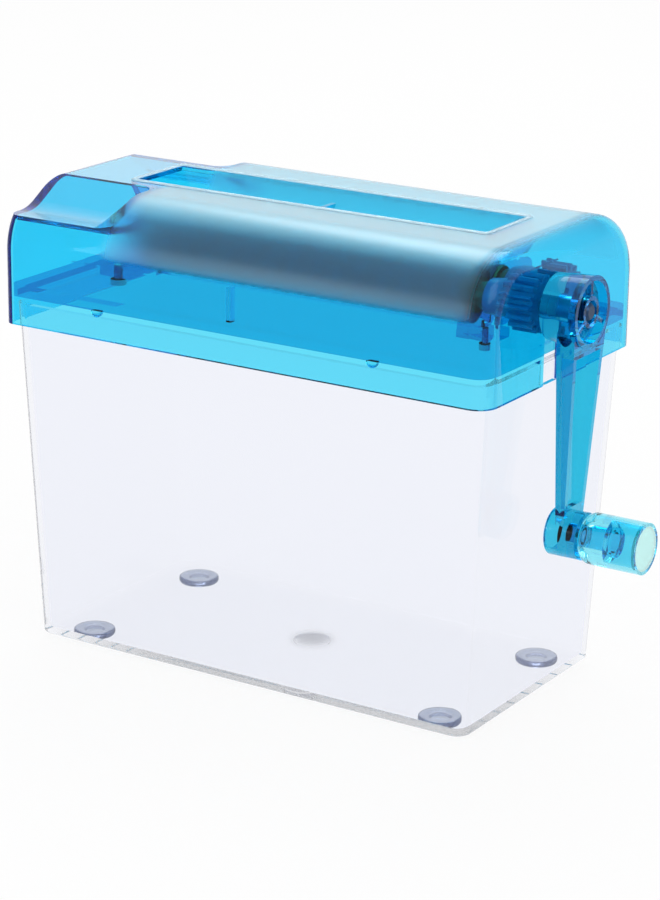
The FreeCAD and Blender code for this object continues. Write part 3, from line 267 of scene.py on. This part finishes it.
def new_material(name):
    """A node material with nothing but its output."""
    material = bpy.data.materials.new(name)
    material.use_nodes = True
    tree = material.node_tree
    tree.nodes.clear()
    return material, tree, add(tree, "ShaderNodeOutputMaterial")


def rgba(values):
    """A colour with full alpha."""
    return (*values, 1.0)


def toned(tone, factor):
    """A colour made lighter or darker, no brighter than white."""
    return rgba(np.minimum(np.array(tone) * factor, 1))


def wavelength(millimetres):
    """Noise scale for features of about this size."""
    return 1 / (millimetres * MM)


def absorbed(tint, wall):
    """Absorption colour and density of a plastic whose wall turns white light into the tint.

    By Beer's law the loss per metre is -ln(tint) / wall. The greatest of the three losses is the
    density, and the colour says how little each is of it. Tints are kept off pure black and white.
    """
    loss = -np.log(np.clip(np.array(tint), 0.001, 0.999)) / wall
    density = float(loss.max())
    return rgba(1 - loss / density), density


def satin_dome_and_painted_top(tree, place, shader, gloss, skin, satin, start, end):
    """Satin finish above start.z and between start.x and end along X. Returns the new roughness.

    Bent faces are rough, the level top is milky and painted paler as a highlight of the light from
    above, and a sheen lies on both. Upright walls stay clear.
    """
    spot = add(tree, "ShaderNodeSeparateXYZ", {"Vector": place})
    normal = add(tree, "ShaderNodeNewGeometry").outputs["Normal"]
    upward = add(tree, "ShaderNodeSeparateXYZ", {"Vector": normal}).outputs["Z"]
    level = add(tree, "ShaderNodeMath", {0: upward}, operation="ABSOLUTE").outputs[0]

    # Where the finish is
    raised = add(tree, "ShaderNodeMapRange", {"Value": spot.outputs["Z"]},
                 {"From Min": start.z - SATIN_RISE, "From Max": start.z},
                 interpolation_type="SMOOTHSTEP").outputs["Result"]
    begun = add(tree, "ShaderNodeMapRange", {"Value": spot.outputs["X"]},
                {"From Min": start.x + LEFT_FADE[0], "From Max": start.x + LEFT_FADE[1]},
                interpolation_type="SMOOTHSTEP").outputs["Result"]
    unended = add(tree, "ShaderNodeMapRange", {"Value": spot.outputs["X"]},
                  {"From Min": end + RIGHT_FADE[0], "From Max": end + RIGHT_FADE[1],
                   "To Min": 1.0, "To Max": 0.0},
                  interpolation_type="SMOOTHSTEP").outputs["Result"]
    above = add(tree, "ShaderNodeMath", {0: raised, 1: unended}, operation="MULTIPLY").outputs[0]
    above = add(tree, "ShaderNodeMath", {0: above, 1: begun}, operation="MULTIPLY").outputs[0]

    # Milky where it is level, and painted paler there as a highlight of the light from above
    topside = add(tree, "ShaderNodeMath", {0: above, 1: upward}, operation="MULTIPLY").outputs[0]
    clear = add(tree, "ShaderNodeMapRange", {"Value": topside}, MILKY_TOP)
    tree.links.new(clear.outputs["Result"], shader.inputs["Transmission Weight"])
    pale = add(tree, "ShaderNodeMapRange", {"Value": topside}, PAINTED_PALE_TOP)
    tint = add(tree, "ShaderNodeMix", {"Factor": pale.outputs["Result"]},
               {MIX_FROM: rgba(skin), MIX_TO: rgba(1 - (1 - np.array(skin)) * PAINTED_PALE_TINT)},
               data_type="RGBA")
    tree.links.new(tint.outputs[MIXED], shader.inputs["Base Color"])

    # A sheen on what is bent or level, which on the level top goes on past the left end
    edge = add(tree, "ShaderNodeMapRange", {"Value": spot.outputs["Z"]},
               {"From Min": start.z - SHEEN_RISE, "From Max": start.z}).outputs["Result"]
    edge = add(tree, "ShaderNodeMath", {0: edge, 1: unended}, operation="MULTIPLY").outputs[0]
    bent = add(tree, "ShaderNodeMapRange", {"Value": level}, SHEEN_BEND).outputs["Result"]
    flat = add(tree, "ShaderNodeMapRange", {"Value": level}, SHEEN_LEVEL).outputs["Result"]
    along = add(tree, "ShaderNodeMath", {0: begun, 1: flat}, operation="MAXIMUM").outputs[0]
    sheen = add(tree, "ShaderNodeMath", {0: bent, 1: flat}, operation="MAXIMUM").outputs[0]
    sheen = add(tree, "ShaderNodeMath", {0: edge, 1: sheen}, operation="MULTIPLY").outputs[0]
    sheen = add(tree, "ShaderNodeMath", {0: sheen, 1: along}, operation="MULTIPLY").outputs[0]
    tree.links.new(sheen, shader.inputs["Coat Weight"])
    shader.inputs["Coat IOR"].default_value = SHEEN_IOR
    shader.inputs["Coat Roughness"].default_value = SHEEN_ROUGHNESS

    # Rough where it is bent
    rough = add(tree, "ShaderNodeMapRange", {"Value": level}, ROUGH_BEND | {"To Max": satin},
                interpolation_type="SMOOTHSTEP").outputs["Result"]
    rough = add(tree, "ShaderNodeMath", {0: above, 1: rough}, operation="MULTIPLY").outputs[0]
    return add(tree, "ShaderNodeMath", {0: gloss, 1: rough}, operation="ADD").outputs[0]


def gate_mark(tree, place, shader, gloss, skin, gate):
    """Grey frosted spot that the moulding gate left, fading outwards. Returns the new roughness."""
    away = add(tree, "ShaderNodeVectorMath", {0: place}, {1: gate}, operation="DISTANCE")
    mark = add(tree, "ShaderNodeMapRange", {"Value": away.outputs["Value"]},
               {"From Min": GATE_CORE, "From Max": GATE_RIM, "To Min": 1.0, "To Max": 0.0},
               interpolation_type="SMOOTHSTEP").outputs["Result"]
    grey = add(tree, "ShaderNodeMix", {"Factor": mark},
               {MIX_FROM: rgba(skin), MIX_TO: toned(skin, GATE_TONE)}, data_type="RGBA")
    tree.links.new(grey.outputs[MIXED], shader.inputs["Base Color"])
    frost = add(tree, "ShaderNodeMath", {0: mark}, {1: GATE_FROST}, operation="MULTIPLY").outputs[0]
    return add(tree, "ShaderNodeMath", {0: gloss, 1: frost}, operation="ADD").outputs[0]


def see_through(name, skin, ior, smudge, depth=None, wall=None, clarity=1.0, satin=None, gate=None):
    """Clear moulded plastic, tinted by its skin and its thickness, with flow waves and smudges.

    Skin is the tint of each wall however thick it is, and depth is what one wall's thickness adds,
    so edges seen lengthwise go dark. Pieces that touch face to face have no depth, because light
    would stay in them. The refractive index is below the real 1.59 of polystyrene or 1.53 of vinyl:
    with so many walls behind each other, those give black edges and white veils that the object
    doesn't show. Smudge is the roughness where fingers have marked it most, and clarity under one
    is milky. Satin holds the roughness, start and end of a satin dome, and gate is the middle of
    the moulding gate's mark.
    """
    material, tree, output = new_material(name)
    place = add(tree, "ShaderNodeTexCoord").outputs["Object"]
    smudges = add(tree, "ShaderNodeTexNoise", {"Vector": place},
                  {"Scale": wavelength(SMUDGE_SIZE), "Detail": 3.0, "Roughness": 0.55})
    gloss = add(tree, "ShaderNodeMapRange", {"Value": smudges.outputs["Fac"]},
                SMUDGED | {"To Max": smudge}).outputs["Result"]
    waves = add(tree, "ShaderNodeTexNoise", {"Vector": place},
                {"Scale": wavelength(FLOW_SIZE), "Detail": 1.0})
    relief = add(tree, "ShaderNodeBump", {"Height": waves.outputs["Fac"]},
                 {"Strength": 0.12, "Distance": RELIEF})
    shader = add(tree, "ShaderNodeBsdfPrincipled", {"Normal": relief.outputs["Normal"]},
                 {"Base Color": rgba(skin), "Transmission Weight": clarity, "IOR": ior})
    if satin:
        # The dome's level top also gets a painted pale highlight here
        gloss = satin_dome_and_painted_top(tree, place, shader, gloss, skin, *satin)
    if gate:
        gloss = gate_mark(tree, place, shader, gloss, skin, gate)
    tree.links.new(gloss, shader.inputs["Roughness"])
    tree.links.new(shader.outputs["BSDF"], output.inputs["Surface"])
    if depth:
        loss_colour, density = absorbed(depth, wall)
        body = add(tree, "ShaderNodeVolumeAbsorption", (),
                   {"Color": loss_colour, "Density": density})
        tree.links.new(body.outputs["Volume"], output.inputs["Volume"])
    return material


def moulded(name, tone, roughness, ior, grain):
    """Opaque moulded plastic: spark-eroded grain, in millimetres, and slow drifts of tone."""
    material, tree, output = new_material(name)
    place = add(tree, "ShaderNodeTexCoord").outputs["Object"]
    drift = add(tree, "ShaderNodeTexNoise", {"Vector": place},
                {"Scale": wavelength(PLASTIC_DRIFT), "Detail": 2.0})
    shade = add(tree, "ShaderNodeMix", {"Factor": drift.outputs["Fac"]},
                {MIX_FROM: toned(tone, PLASTIC_TONES[0]), MIX_TO: toned(tone, PLASTIC_TONES[1])},
                data_type="RGBA")
    speck = add(tree, "ShaderNodeTexNoise", {"Vector": place},
                {"Scale": wavelength(grain), "Detail": 2.0})
    gloss = add(tree, "ShaderNodeMapRange", {"Value": speck.outputs["Fac"]},
                {"To Min": roughness - GRAIN_SPREAD, "To Max": roughness + GRAIN_SPREAD})
    relief = add(tree, "ShaderNodeBump", {"Height": speck.outputs["Fac"]},
                 {"Strength": 0.2, "Distance": RELIEF})
    shader = add(tree, "ShaderNodeBsdfPrincipled",
                 {"Base Color": shade.outputs[MIXED], "Roughness": gloss.outputs["Result"],
                  "Normal": relief.outputs["Normal"]},
                 {"IOR": ior})
    tree.links.new(shader.outputs["BSDF"], output.inputs["Surface"])
    return material


def turned(name, tone, roughness, line, axis):
    """Metal worked in a lathe or on a face grinder: fine rings about an axis along X.

    The ring pattern is a noise read along the distance from the axis and along X. Line is the
    marks' width in millimetres, several times the real one so that they show.
    """
    material, tree, output = new_material(name)
    place = add(tree, "ShaderNodeTexCoord").outputs["Object"]
    centred = add(tree, "ShaderNodeMapping", {"Vector": place},
                  {"Location": (0.0, -axis.y, -axis.z)})
    parts = add(tree, "ShaderNodeSeparateXYZ", {"Vector": centred.outputs["Vector"]})
    flat = add(tree, "ShaderNodeCombineXYZ", {"Y": parts.outputs["Y"], "Z": parts.outputs["Z"]})
    radius = add(tree, "ShaderNodeVectorMath", {0: flat.outputs["Vector"]}, operation="LENGTH")
    along = add(tree, "ShaderNodeCombineXYZ",
                {"X": parts.outputs["X"], "Y": radius.outputs["Value"]})
    rings = add(tree, "ShaderNodeTexNoise", {"Vector": along.outputs["Vector"]},
                {"Scale": wavelength(line), "Detail": 2.0})
    cloud = add(tree, "ShaderNodeTexNoise", {"Vector": place},
                {"Scale": wavelength(METAL_DRIFT), "Detail": 3.0})
    shade = add(tree, "ShaderNodeMix", {"Factor": cloud.outputs["Fac"]},
                {MIX_FROM: toned(tone, METAL_TONES[0]), MIX_TO: toned(tone, METAL_TONES[1])},
                data_type="RGBA")
    gloss = add(tree, "ShaderNodeMapRange", {"Value": rings.outputs["Fac"]},
                {"To Min": roughness - RING_SPREAD, "To Max": roughness + RING_SPREAD})
    relief = add(tree, "ShaderNodeBump", {"Height": rings.outputs["Fac"]},
                 {"Strength": 0.25, "Distance": RELIEF})
    shader = add(tree, "ShaderNodeBsdfPrincipled",
                 {"Base Color": shade.outputs[MIXED], "Roughness": gloss.outputs["Result"],
                  "Normal": relief.outputs["Normal"]},
                 {"Metallic": 1.0})
    tree.links.new(shader.outputs["BSDF"], output.inputs["Surface"])
    return material


def dress(material, *names):
    """Give CAD nodes a material."""
    for name in names:
        slots = NODES[name].data.materials
        slots.clear()
        slots.append(material)


def revolved(profile, middle, steps=72):
    """Surface of revolution: each profile point (radius, height) carried round an upright axis.

    Points are middle + (r cos t, r sin t, h) for t in equal steps, with one point at each end of
    the profile, where the radius is zero.
    """
    profile = np.array(profile)
    turn = np.linspace(0, 2 * np.pi, steps, endpoint=False)
    ring = np.stack([np.cos(turn), np.sin(turn), np.zeros(steps)], axis=1)
    body = profile[1:-1]
    points = body[:, None, :1] * ring + body[:, None, 1:] * np.array([0, 0, 1])
    ends = np.array([[0, 0, profile[0, 1]], [0, 0, profile[-1, 1]]])
    points = np.concatenate([points.reshape(-1, 3), ends]) + np.array(middle)
    rows, step = np.arange(len(body) - 1)[:, None] * steps, np.arange(steps)
    after = np.roll(step, -1)
    sides = np.stack([rows + step, rows + after, rows + steps + after, rows + steps + step],
                     axis=-1).reshape(-1, 4)
    last, pole = (len(body) - 1) * steps, len(body) * steps
    first_fan = np.stack([np.full(steps, pole), after, step], axis=1)
    last_fan = np.stack([np.full(steps, pole + 1), last + step, last + after], axis=1)
    mesh = bpy.data.meshes.new("Revolved")
    mesh.from_pydata(points.tolist(), [], sides.tolist() + first_fan.tolist() + last_fan.tolist())
    mesh.shade_smooth()
    return mesh


def new_piece(name, mesh, material):
    """A piece of its own at the origin, from a mesh that holds its place."""
    mesh.name = name
    mesh.materials.append(material)
    piece = bpy.data.objects.new(name, mesh)
    bpy.context.scene.collection.objects.link(piece)
    return piece


def foot_pad(node):
    """Round pad in its solid's place: a dimple below, a soft lower edge and a ring groove on top.

    It stops a hair below the bin, so that light passes from one to the other.
    """
    low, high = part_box(node)
    radius, height = (high.x - low.x) / 2, high.z - low.z
    middle = ((low.x + high.x) / 2, (low.y + high.y) / 2, low.z)
    return revolved([(r * radius, z * height) for r, z in PAD_PROFILE], middle)


def rounded_rim(middle, half_x, half_y, width, height, corner_steps=8, bow_steps=12):
    """Rim round a rectangle: half an ellipse carried along a rounded rectangle just outside it.

    The path's points are corner + r (cos a, sin a) with a through a quarter turn at each corner,
    and the section's are w/2 cos b outwards and h sin b upwards with b from 0 to half a turn, closed
    by its flat base.
    """
    radius = LIP_CORNER + width / 2
    quarter = np.linspace(0, np.pi / 2, corner_steps)
    turn = np.concatenate([quarter + k * np.pi / 2 for k in range(4)])
    outward = np.stack([np.cos(turn), np.sin(turn), np.zeros_like(turn)], axis=1)
    signs = np.repeat([[1, 1, 0], [-1, 1, 0], [-1, -1, 0], [1, -1, 0]], corner_steps, axis=0)
    corners = signs * np.array([half_x - LIP_CORNER, half_y - LIP_CORNER, 0])
    path = np.array(middle) + corners + radius * outward
    bow = np.linspace(0, np.pi, bow_steps)
    across, up = width / 2 * np.cos(bow), height * np.sin(bow)
    points = (path[:, None] + across[:, None] * outward[:, None]
              + up[:, None] * np.array([0, 0, 1]))
    count, ring = len(path), len(bow)
    row, col = np.arange(count)[:, None], np.arange(ring)
    after_row, after_col = (row + 1) % count, (col + 1) % ring
    faces = np.stack([row * ring + col, after_row * ring + col, after_row * ring + after_col,
                      row * ring + after_col], axis=-1).reshape(-1, 4)
    mesh = bpy.data.meshes.new("Rim")
    mesh.from_pydata(points.reshape(-1, 3).tolist(), [], faces.tolist())
    mesh.shade_smooth()
    mesh.set_sharp_from_angle(angle=LIP_SHARP)
    return mesh


def raised_copy(node, gap):
    """Merged copy of a solid, its lowest face a gap higher: heights are max(z, lowest + gap)."""
    mesh = NODES[node].data.copy()
    loose = bmesh.new()
    loose.from_mesh(mesh)
    bmesh.ops.remove_doubles(loose, verts=loose.verts, dist=MERGE_DISTANCE)
    loose.to_mesh(mesh)
    loose.free()
    points = np.empty(len(mesh.vertices) * 3, dtype=np.float32)
    mesh.vertices.foreach_get("co", points)
    heights = points[2::3]
    heights[:] = np.maximum(heights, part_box(node)[0].z + gap)
    mesh.vertices.foreach_set("co", points)
    mesh.materials.clear()
    mesh.shade_smooth()
    mesh.set_sharp_from_angle(angle=PLATE_SHARP)
    return mesh


class SHREDDER_OT_head(bpy.types.Operator):
    """See-through blue cover with its satin dome and painted pale top, and the plates and combs
    inside it
    """
    bl_idname = "shredder.head"
    bl_label = "Head"

    def execute(self, context):
        look = context.scene.shredder_plastics
        self.cover(look)
        self.slot_lip(look, context.scene.shredder_sizes)
        self.plates(look)
        return {"FINISHED"}

    def cover(self, look):
        """Moulded shell, with a satin finish and a painted pale top on its dome."""
        # Polished walls show what is behind them in blue, the dome blurs it under a grey sheen, and
        # its level top is painted pale as a highlight
        low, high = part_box("top_cover")
        start = Vector((low.x + DOME_LEFT, 0, high.z - DOME_DROP))
        dress(see_through("Clear blue polystyrene, satin dome, painted pale top", look.head_skin, ior=1.25,
                          smudge=0.05, depth=look.head_depth, wall=look.head_wall,
                          satin=(look.dome_satin, start, high.x - DOME_RIGHT)), "top_cover")

    def slot_lip(self, look, sizes):
        """Rounded rim that stands for the slot's soft edge, tinted pale as a painted highlight."""
        # Thin, pale and a little milky: a painted highlight that draws a bright line round the slot
        low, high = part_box("top_cover")
        middle = ((low.x + high.x) / 2 + sizes.slot_shift, (low.y + high.y) / 2, high.z + LIP_GAP)
        rim = rounded_rim(middle, sizes.slot_length / 2, sizes.slot_width / 2, sizes.lip_width,
                          sizes.lip_height)
        pale = see_through("Clear blue polystyrene, thin rim, painted highlight", look.lip_painted_highlight, ior=1.25,
                           smudge=0.05, clarity=0.6)
        lip = new_piece("slot_lip", rim, pale)
        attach(lip, "head")

    def plates(self, look):
        """Base plate, stripper combs and the two bearing plates."""
        # A deeper blue that shows as darker panels through the cover
        plate = see_through("Clear blue polystyrene, plate", look.plate_skin, ior=1.02, smudge=0.08)
        dress(plate, "base_plate", "front_stripper_comb", "rear_stripper_comb")
        for side in SIDES:
            node = f"{side}_bearing_plate"
            upright = new_piece(f"{side}_upright", raised_copy(node, PLATE_GAP), plate)
            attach(upright, "head")
            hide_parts(node)


class SHREDDER_OT_bin(bpy.types.Operator):
    """Clear collection bin"""
    bl_idname = "shredder.bin"
    bl_label = "Bin"

    def execute(self, context):
        look = context.scene.shredder_plastics
        # Glass-clear walls, which only their edges, a faint cold tint and the gate's grey spot show
        middle = sum((centre(f"foot_{place}") for place in FEET), Vector()) / len(FEET)
        gate = (middle.x, middle.y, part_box("collection_bin")[0].z)
        dress(see_through("Clear polystyrene", look.bin_skin, ior=1.12, smudge=0.04,
                          depth=look.bin_depth, wall=look.bin_wall, gate=gate), "collection_bin")
        return {"FINISHED"}


class SHREDDER_OT_feet(bpy.types.Operator):
    """Soft clear foot pads"""
    bl_idname = "shredder.feet"
    bl_label = "Feet"

    def execute(self, context):
        look = context.scene.shredder_plastics
        # Soft vinyl is duller than the bin, and its rounded edges bend the light into grey rings
        vinyl = see_through("Soft clear vinyl", look.foot_skin, ior=1.38, smudge=0.2,
                            depth=look.foot_depth, wall=PAD_WALL)
        for place in FEET:
            node = f"foot_{place}"
            pad = new_piece(f"pad_{place}", foot_pad(node), vinyl)
            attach(pad, "bin")
            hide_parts(node)
        return {"FINISHED"}


class SHREDDER_OT_bearings(bpy.types.Operator):
    """Bronze bushes in the bearing plates"""
    bl_idname = "shredder.bearings"
    bl_label = "Bushes"

    def execute(self, context):
        look = context.scene.shredder_metals
        # Pressed from powder and sized: warm brown metal with a dull, oily shine
        for row, shaft in SHAFTS.items():
            bronze = turned(f"Sintered bronze, {row}", look.bush_colour, roughness=0.4, line=0.3,
                            axis=shaft)
            dress(bronze, f"{row}_left_bush", f"{row}_right_bush")
        return {"FINISHED"}


class SHREDDER_OT_cutters(bpy.types.Operator):
    """Cutter discs, spacers and shafts"""
    bl_idname = "shredder.cutters"
    bl_label = "Cutters and shafts"

    def execute(self, context):
        look = context.scene.shredder_metals
        # Ground and turned steel: dark discs and spacers with ringed gleams, and brighter shafts
        for row, shaft in SHAFTS.items():
            for steel, piece, tone, roughness, line in (
                    ("Ground steel", "cutter_discs", look.cutter_colour, 0.32, 0.25),
                    ("Bright turned steel", "shaft", look.shaft_colour, 0.3, 0.35),
                    ("Turned steel", "spacers", look.spacer_colour, 0.36, 0.35)):
                dress(turned(f"{steel}, {row}", tone, roughness, line, shaft), f"{row}_{piece}")
        return {"FINISHED"}


class SHREDDER_OT_gears(bpy.types.Operator):
    """Pair of moulded gears"""
    bl_idname = "shredder.gears"
    bl_label = "Gears"

    def execute(self, context):
        look = context.scene.shredder_plastics
        # Moulded nylon: solid blue with a soft shine, and a grain drawn coarse enough to show
        nylon = moulded("Blue nylon", look.gear_colour, roughness=0.35, ior=1.48, grain=0.5)
        dress(nylon, "drive_gear", "driven_gear")
        return {"FINISHED"}


class SHREDDER_OT_crank(bpy.types.Operator):
    """Crank arm, grip pin and grip"""
    bl_idname = "shredder.crank"
    bl_label = "Crank and grip"

    def execute(self, context):
        look = context.scene.shredder_plastics
        # Polished: a deep blue arm, a paler grip with bright edges and a milky disc in its end
        for name, node, skin, depth, ior, clarity in (
                ("crank", "crank_arm", look.crank_skin, look.crank_depth, 1.3, 1.0),
                ("grip", "crank_grip", look.grip_skin, None, 1.42, 1.0),
                ("pin", "grip_pin", look.grip_skin, None, 1.12, 1.0),
                ("grip end", "grip_cap", look.cap_skin, None, 1.42, 0.35)):
            dress(see_through(f"Clear blue polystyrene, {name}", skin, ior, smudge=0.05,
                              depth=depth, wall=look.head_wall, clarity=clarity), node)
        return {"FINISHED"}


class SHREDDER_OT_fasteners(bpy.types.Operator):
    """Screws, washer and spring clips"""
    bl_idname = "shredder.fasteners"
    bl_label = "Fasteners"

    def execute(self, context):
        look = context.scene.shredder_metals
        # Plated: pale and bright, with a clear reflection
        zinc = turned("Bright zinc plate", look.fastener_colour, roughness=0.24, line=0.3,
                      axis=SHAFTS["front"])
        dress(zinc, "bearing_plate_screws", "front_shaft_clip", "rear_shaft_clip", "rear_gear_clip")
        # Heated to a thin oxide: dark blue with a soft gleam
        blued = turned("Blued steel", look.screw_colour, roughness=0.34, line=0.3,
                       axis=SHAFTS["front"])
        dress(blued, "crank_screw", "crank_washer")
        return {"FINISHED"}


def place_camera(studio):
    """Stand the camera at the picture's place: turn, tilt and roll give its right, up and back."""
    turn, tilt, roll = np.radians([studio.camera_turn, studio.camera_tilt, studio.camera_roll])
    back = Vector((np.sin(turn) * np.cos(tilt), -np.cos(turn) * np.cos(tilt), np.sin(tilt)))
    right = Vector((np.cos(turn), np.sin(turn), 0))
    up = back.cross(right)
    rolled_right = right * np.cos(roll) + up * np.sin(roll)
    rolled_up = up * np.cos(roll) - right * np.sin(roll)
    camera = bpy.data.cameras.new("Camera")
    camera.lens = studio.lens
    camera.sensor_width = FILM_SIDE
    camera.clip_end = VIEW_REACH
    holder = bpy.data.objects.new("Camera", camera)
    axes = Matrix((rolled_right, rolled_up, back)).transposed().to_4x4()
    holder.matrix_world = Matrix.Translation(Vector(studio.camera_place)) @ axes
    bpy.context.scene.collection.objects.link(holder)
    bpy.context.scene.camera = holder


def soft_lamp(name, place, target, size, brightness):
    """A soft box that looks at a point. Its power is pi times its area times its brightness."""
    width, height = size
    lamp = bpy.data.lights.new(name, "AREA")
    lamp.shape = "RECTANGLE"
    lamp.size = width
    lamp.size_y = height
    lamp.energy = np.pi * width * height * brightness
    holder = bpy.data.objects.new(name, lamp)
    aim = (Vector(target) - Vector(place)).to_track_quat("-Z", "Y").to_matrix().to_4x4()
    holder.matrix_world = Matrix.Translation(Vector(place)) @ aim
    bpy.context.scene.collection.objects.link(holder)


def floor_sheet():
    """Floor grid over two parameters: points (x, y, 0) at equal steps."""
    side = np.linspace(-FLOOR_REACH, FLOOR_REACH, FLOOR_POINTS)
    x, y = np.meshgrid(side, side, indexing="ij")
    points = np.stack([x, y, np.zeros_like(x)], axis=-1).reshape(-1, 3)
    count = len(side)
    corner = (np.arange(count - 1)[:, None] * count + np.arange(count - 1)).ravel()
    faces = np.stack([corner, corner + count, corner + count + 1, corner + 1], axis=1)
    mesh = bpy.data.meshes.new("Floor")
    mesh.from_pydata(points.tolist(), [], faces.tolist())
    return mesh


def eye_rays(tree):
    """One for what the eye sees directly, in gloss or through clear plastic, and zero otherwise."""
    path = add(tree, "ShaderNodeLightPath")
    seen = path.outputs["Is Camera Ray"]
    for kind in ("Is Glossy Ray", "Is Transmission Ray"):
        seen = add(tree, "ShaderNodeMath", {0: seen, 1: path.outputs[kind]},
                   operation="MAXIMUM").outputs[0]
    return seen


def pale_paint(studio):
    """Floor paint, most of which shows as a white backdrop."""
    # Matt white with no shine, and a soft shadow under the object
    material, tree, output = new_material("Pale floor")
    place = add(tree, "ShaderNodeTexCoord").outputs["Object"]
    cloud = add(tree, "ShaderNodeTexNoise", {"Vector": place}, {"Scale": wavelength(FLOOR_DRIFT)})
    tone = add(tree, "ShaderNodeMix", {"Factor": cloud.outputs["Fac"]},
               {MIX_FROM: toned(studio.floor_colour, FLOOR_TONE), MIX_TO: rgba(studio.floor_colour)},
               data_type="RGBA").outputs[MIXED]
    paint = add(tree, "ShaderNodeBsdfDiffuse", {"Color": tone})
    glow = add(tree, "ShaderNodeEmission", {"Color": tone}, {"Strength": 1.0})
    shown = add(tree, "ShaderNodeMath", {0: eye_rays(tree)}, {1: studio.backdrop_share},
                operation="MULTIPLY")
    mixed = add(tree, "ShaderNodeMixShader", {0: shown.outputs[0], 1: paint.outputs["BSDF"],
                                              2: glow.outputs["Emission"]})
    tree.links.new(mixed.outputs["Shader"], output.inputs["Surface"])
    return material


class SHREDDER_OT_studio(bpy.types.Operator):
    """Camera, pale floor, even room light and soft boxes"""
    bl_idname = "shredder.studio"
    bl_label = "Studio"

    def execute(self, context):
        scene = context.scene
        studio = scene.shredder_studio
        scene.view_settings.view_transform = "Standard"
        scene.cycles.max_bounces = BOUNCES
        scene.cycles.transmission_bounces = BOUNCES
        scene.cycles.glossy_bounces = BOUNCES
        place_camera(studio)
        floor = bpy.data.objects.new("floor", floor_sheet())
        scene.collection.objects.link(floor)
        floor.data.materials.append(pale_paint(studio))
        self.light(scene, studio)
        return {"FINISHED"}

    def light(self, scene, studio):
        """White room for the eye, gloss and glass, and a slightly weaker even light otherwise."""
        scene.world = bpy.data.worlds.new("Room")
        scene.world.use_nodes = True
        tree = scene.world.node_tree
        tree.nodes.clear()
        strength = add(tree, "ShaderNodeMapRange", {"Value": eye_rays(tree)},
                       {"To Min": studio.daylight, "To Max": 1.0})
        sky = add(tree, "ShaderNodeBackground", {"Strength": strength.outputs["Result"]},
                  {"Color": (1, 1, 1, 1)})
        add(tree, "ShaderNodeOutputWorld", {"Surface": sky.outputs["Background"]})
        middle = (CAD_BOX[0] + CAD_BOX[1]) / 2
        for name, (place, size, brightness) in SOFT_BOXES.items():
            soft_lamp(name, place, middle, size, brightness)


PIECES = (SHREDDER_OT_head, SHREDDER_OT_bin, SHREDDER_OT_feet, SHREDDER_OT_bearings,
          SHREDDER_OT_cutters, SHREDDER_OT_gears, SHREDDER_OT_crank, SHREDDER_OT_fasteners,
          SHREDDER_OT_studio)
GROUPS = {"shredder_plastics": ShredderPlastics, "shredder_metals": ShredderMetals,
          "shredder_sizes": ShredderSizes, "shredder_studio": ShredderStudio}


class SHREDDER_PT_panel(bpy.types.Panel):
    """Lists the pieces and their settings"""
    bl_idname = "SHREDDER_PT_panel"
    bl_label = "Paper Shredder"
    bl_space_type = "VIEW_3D"
    bl_region_type = "UI"
    bl_category = "Shredder"

    def draw(self, context):
        for piece in PIECES:
            self.layout.operator(piece.bl_idname)
        for group in (getattr(context.scene, name) for name in GROUPS):
            for key in group.bl_rna.properties.keys():
                if key not in ("rna_type", "name"):
                    self.layout.prop(group, key)


def register():
    """Register the settings, the operators and the panel."""
    for group in GROUPS.values():
        bpy.utils.register_class(group)
    for name, group in GROUPS.items():
        setattr(bpy.types.Scene, name, PointerProperty(type=group))
    for item in (*PIECES, SHREDDER_PT_panel):
        bpy.utils.register_class(item)


def unregister():
    """Take out the panel, the operators and the settings."""
    for item in reversed((*PIECES, SHREDDER_PT_panel)):
        bpy.utils.unregister_class(item)
    for name, group in GROUPS.items():
        delattr(bpy.types.Scene, name)
        bpy.utils.unregister_class(group)


def main():
    """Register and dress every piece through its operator."""
    register()
    for piece in PIECES:
        area, name = piece.bl_idname.split(".")
        getattr(getattr(bpy.ops, area), name)()


if __name__ == "__main__":
    main()
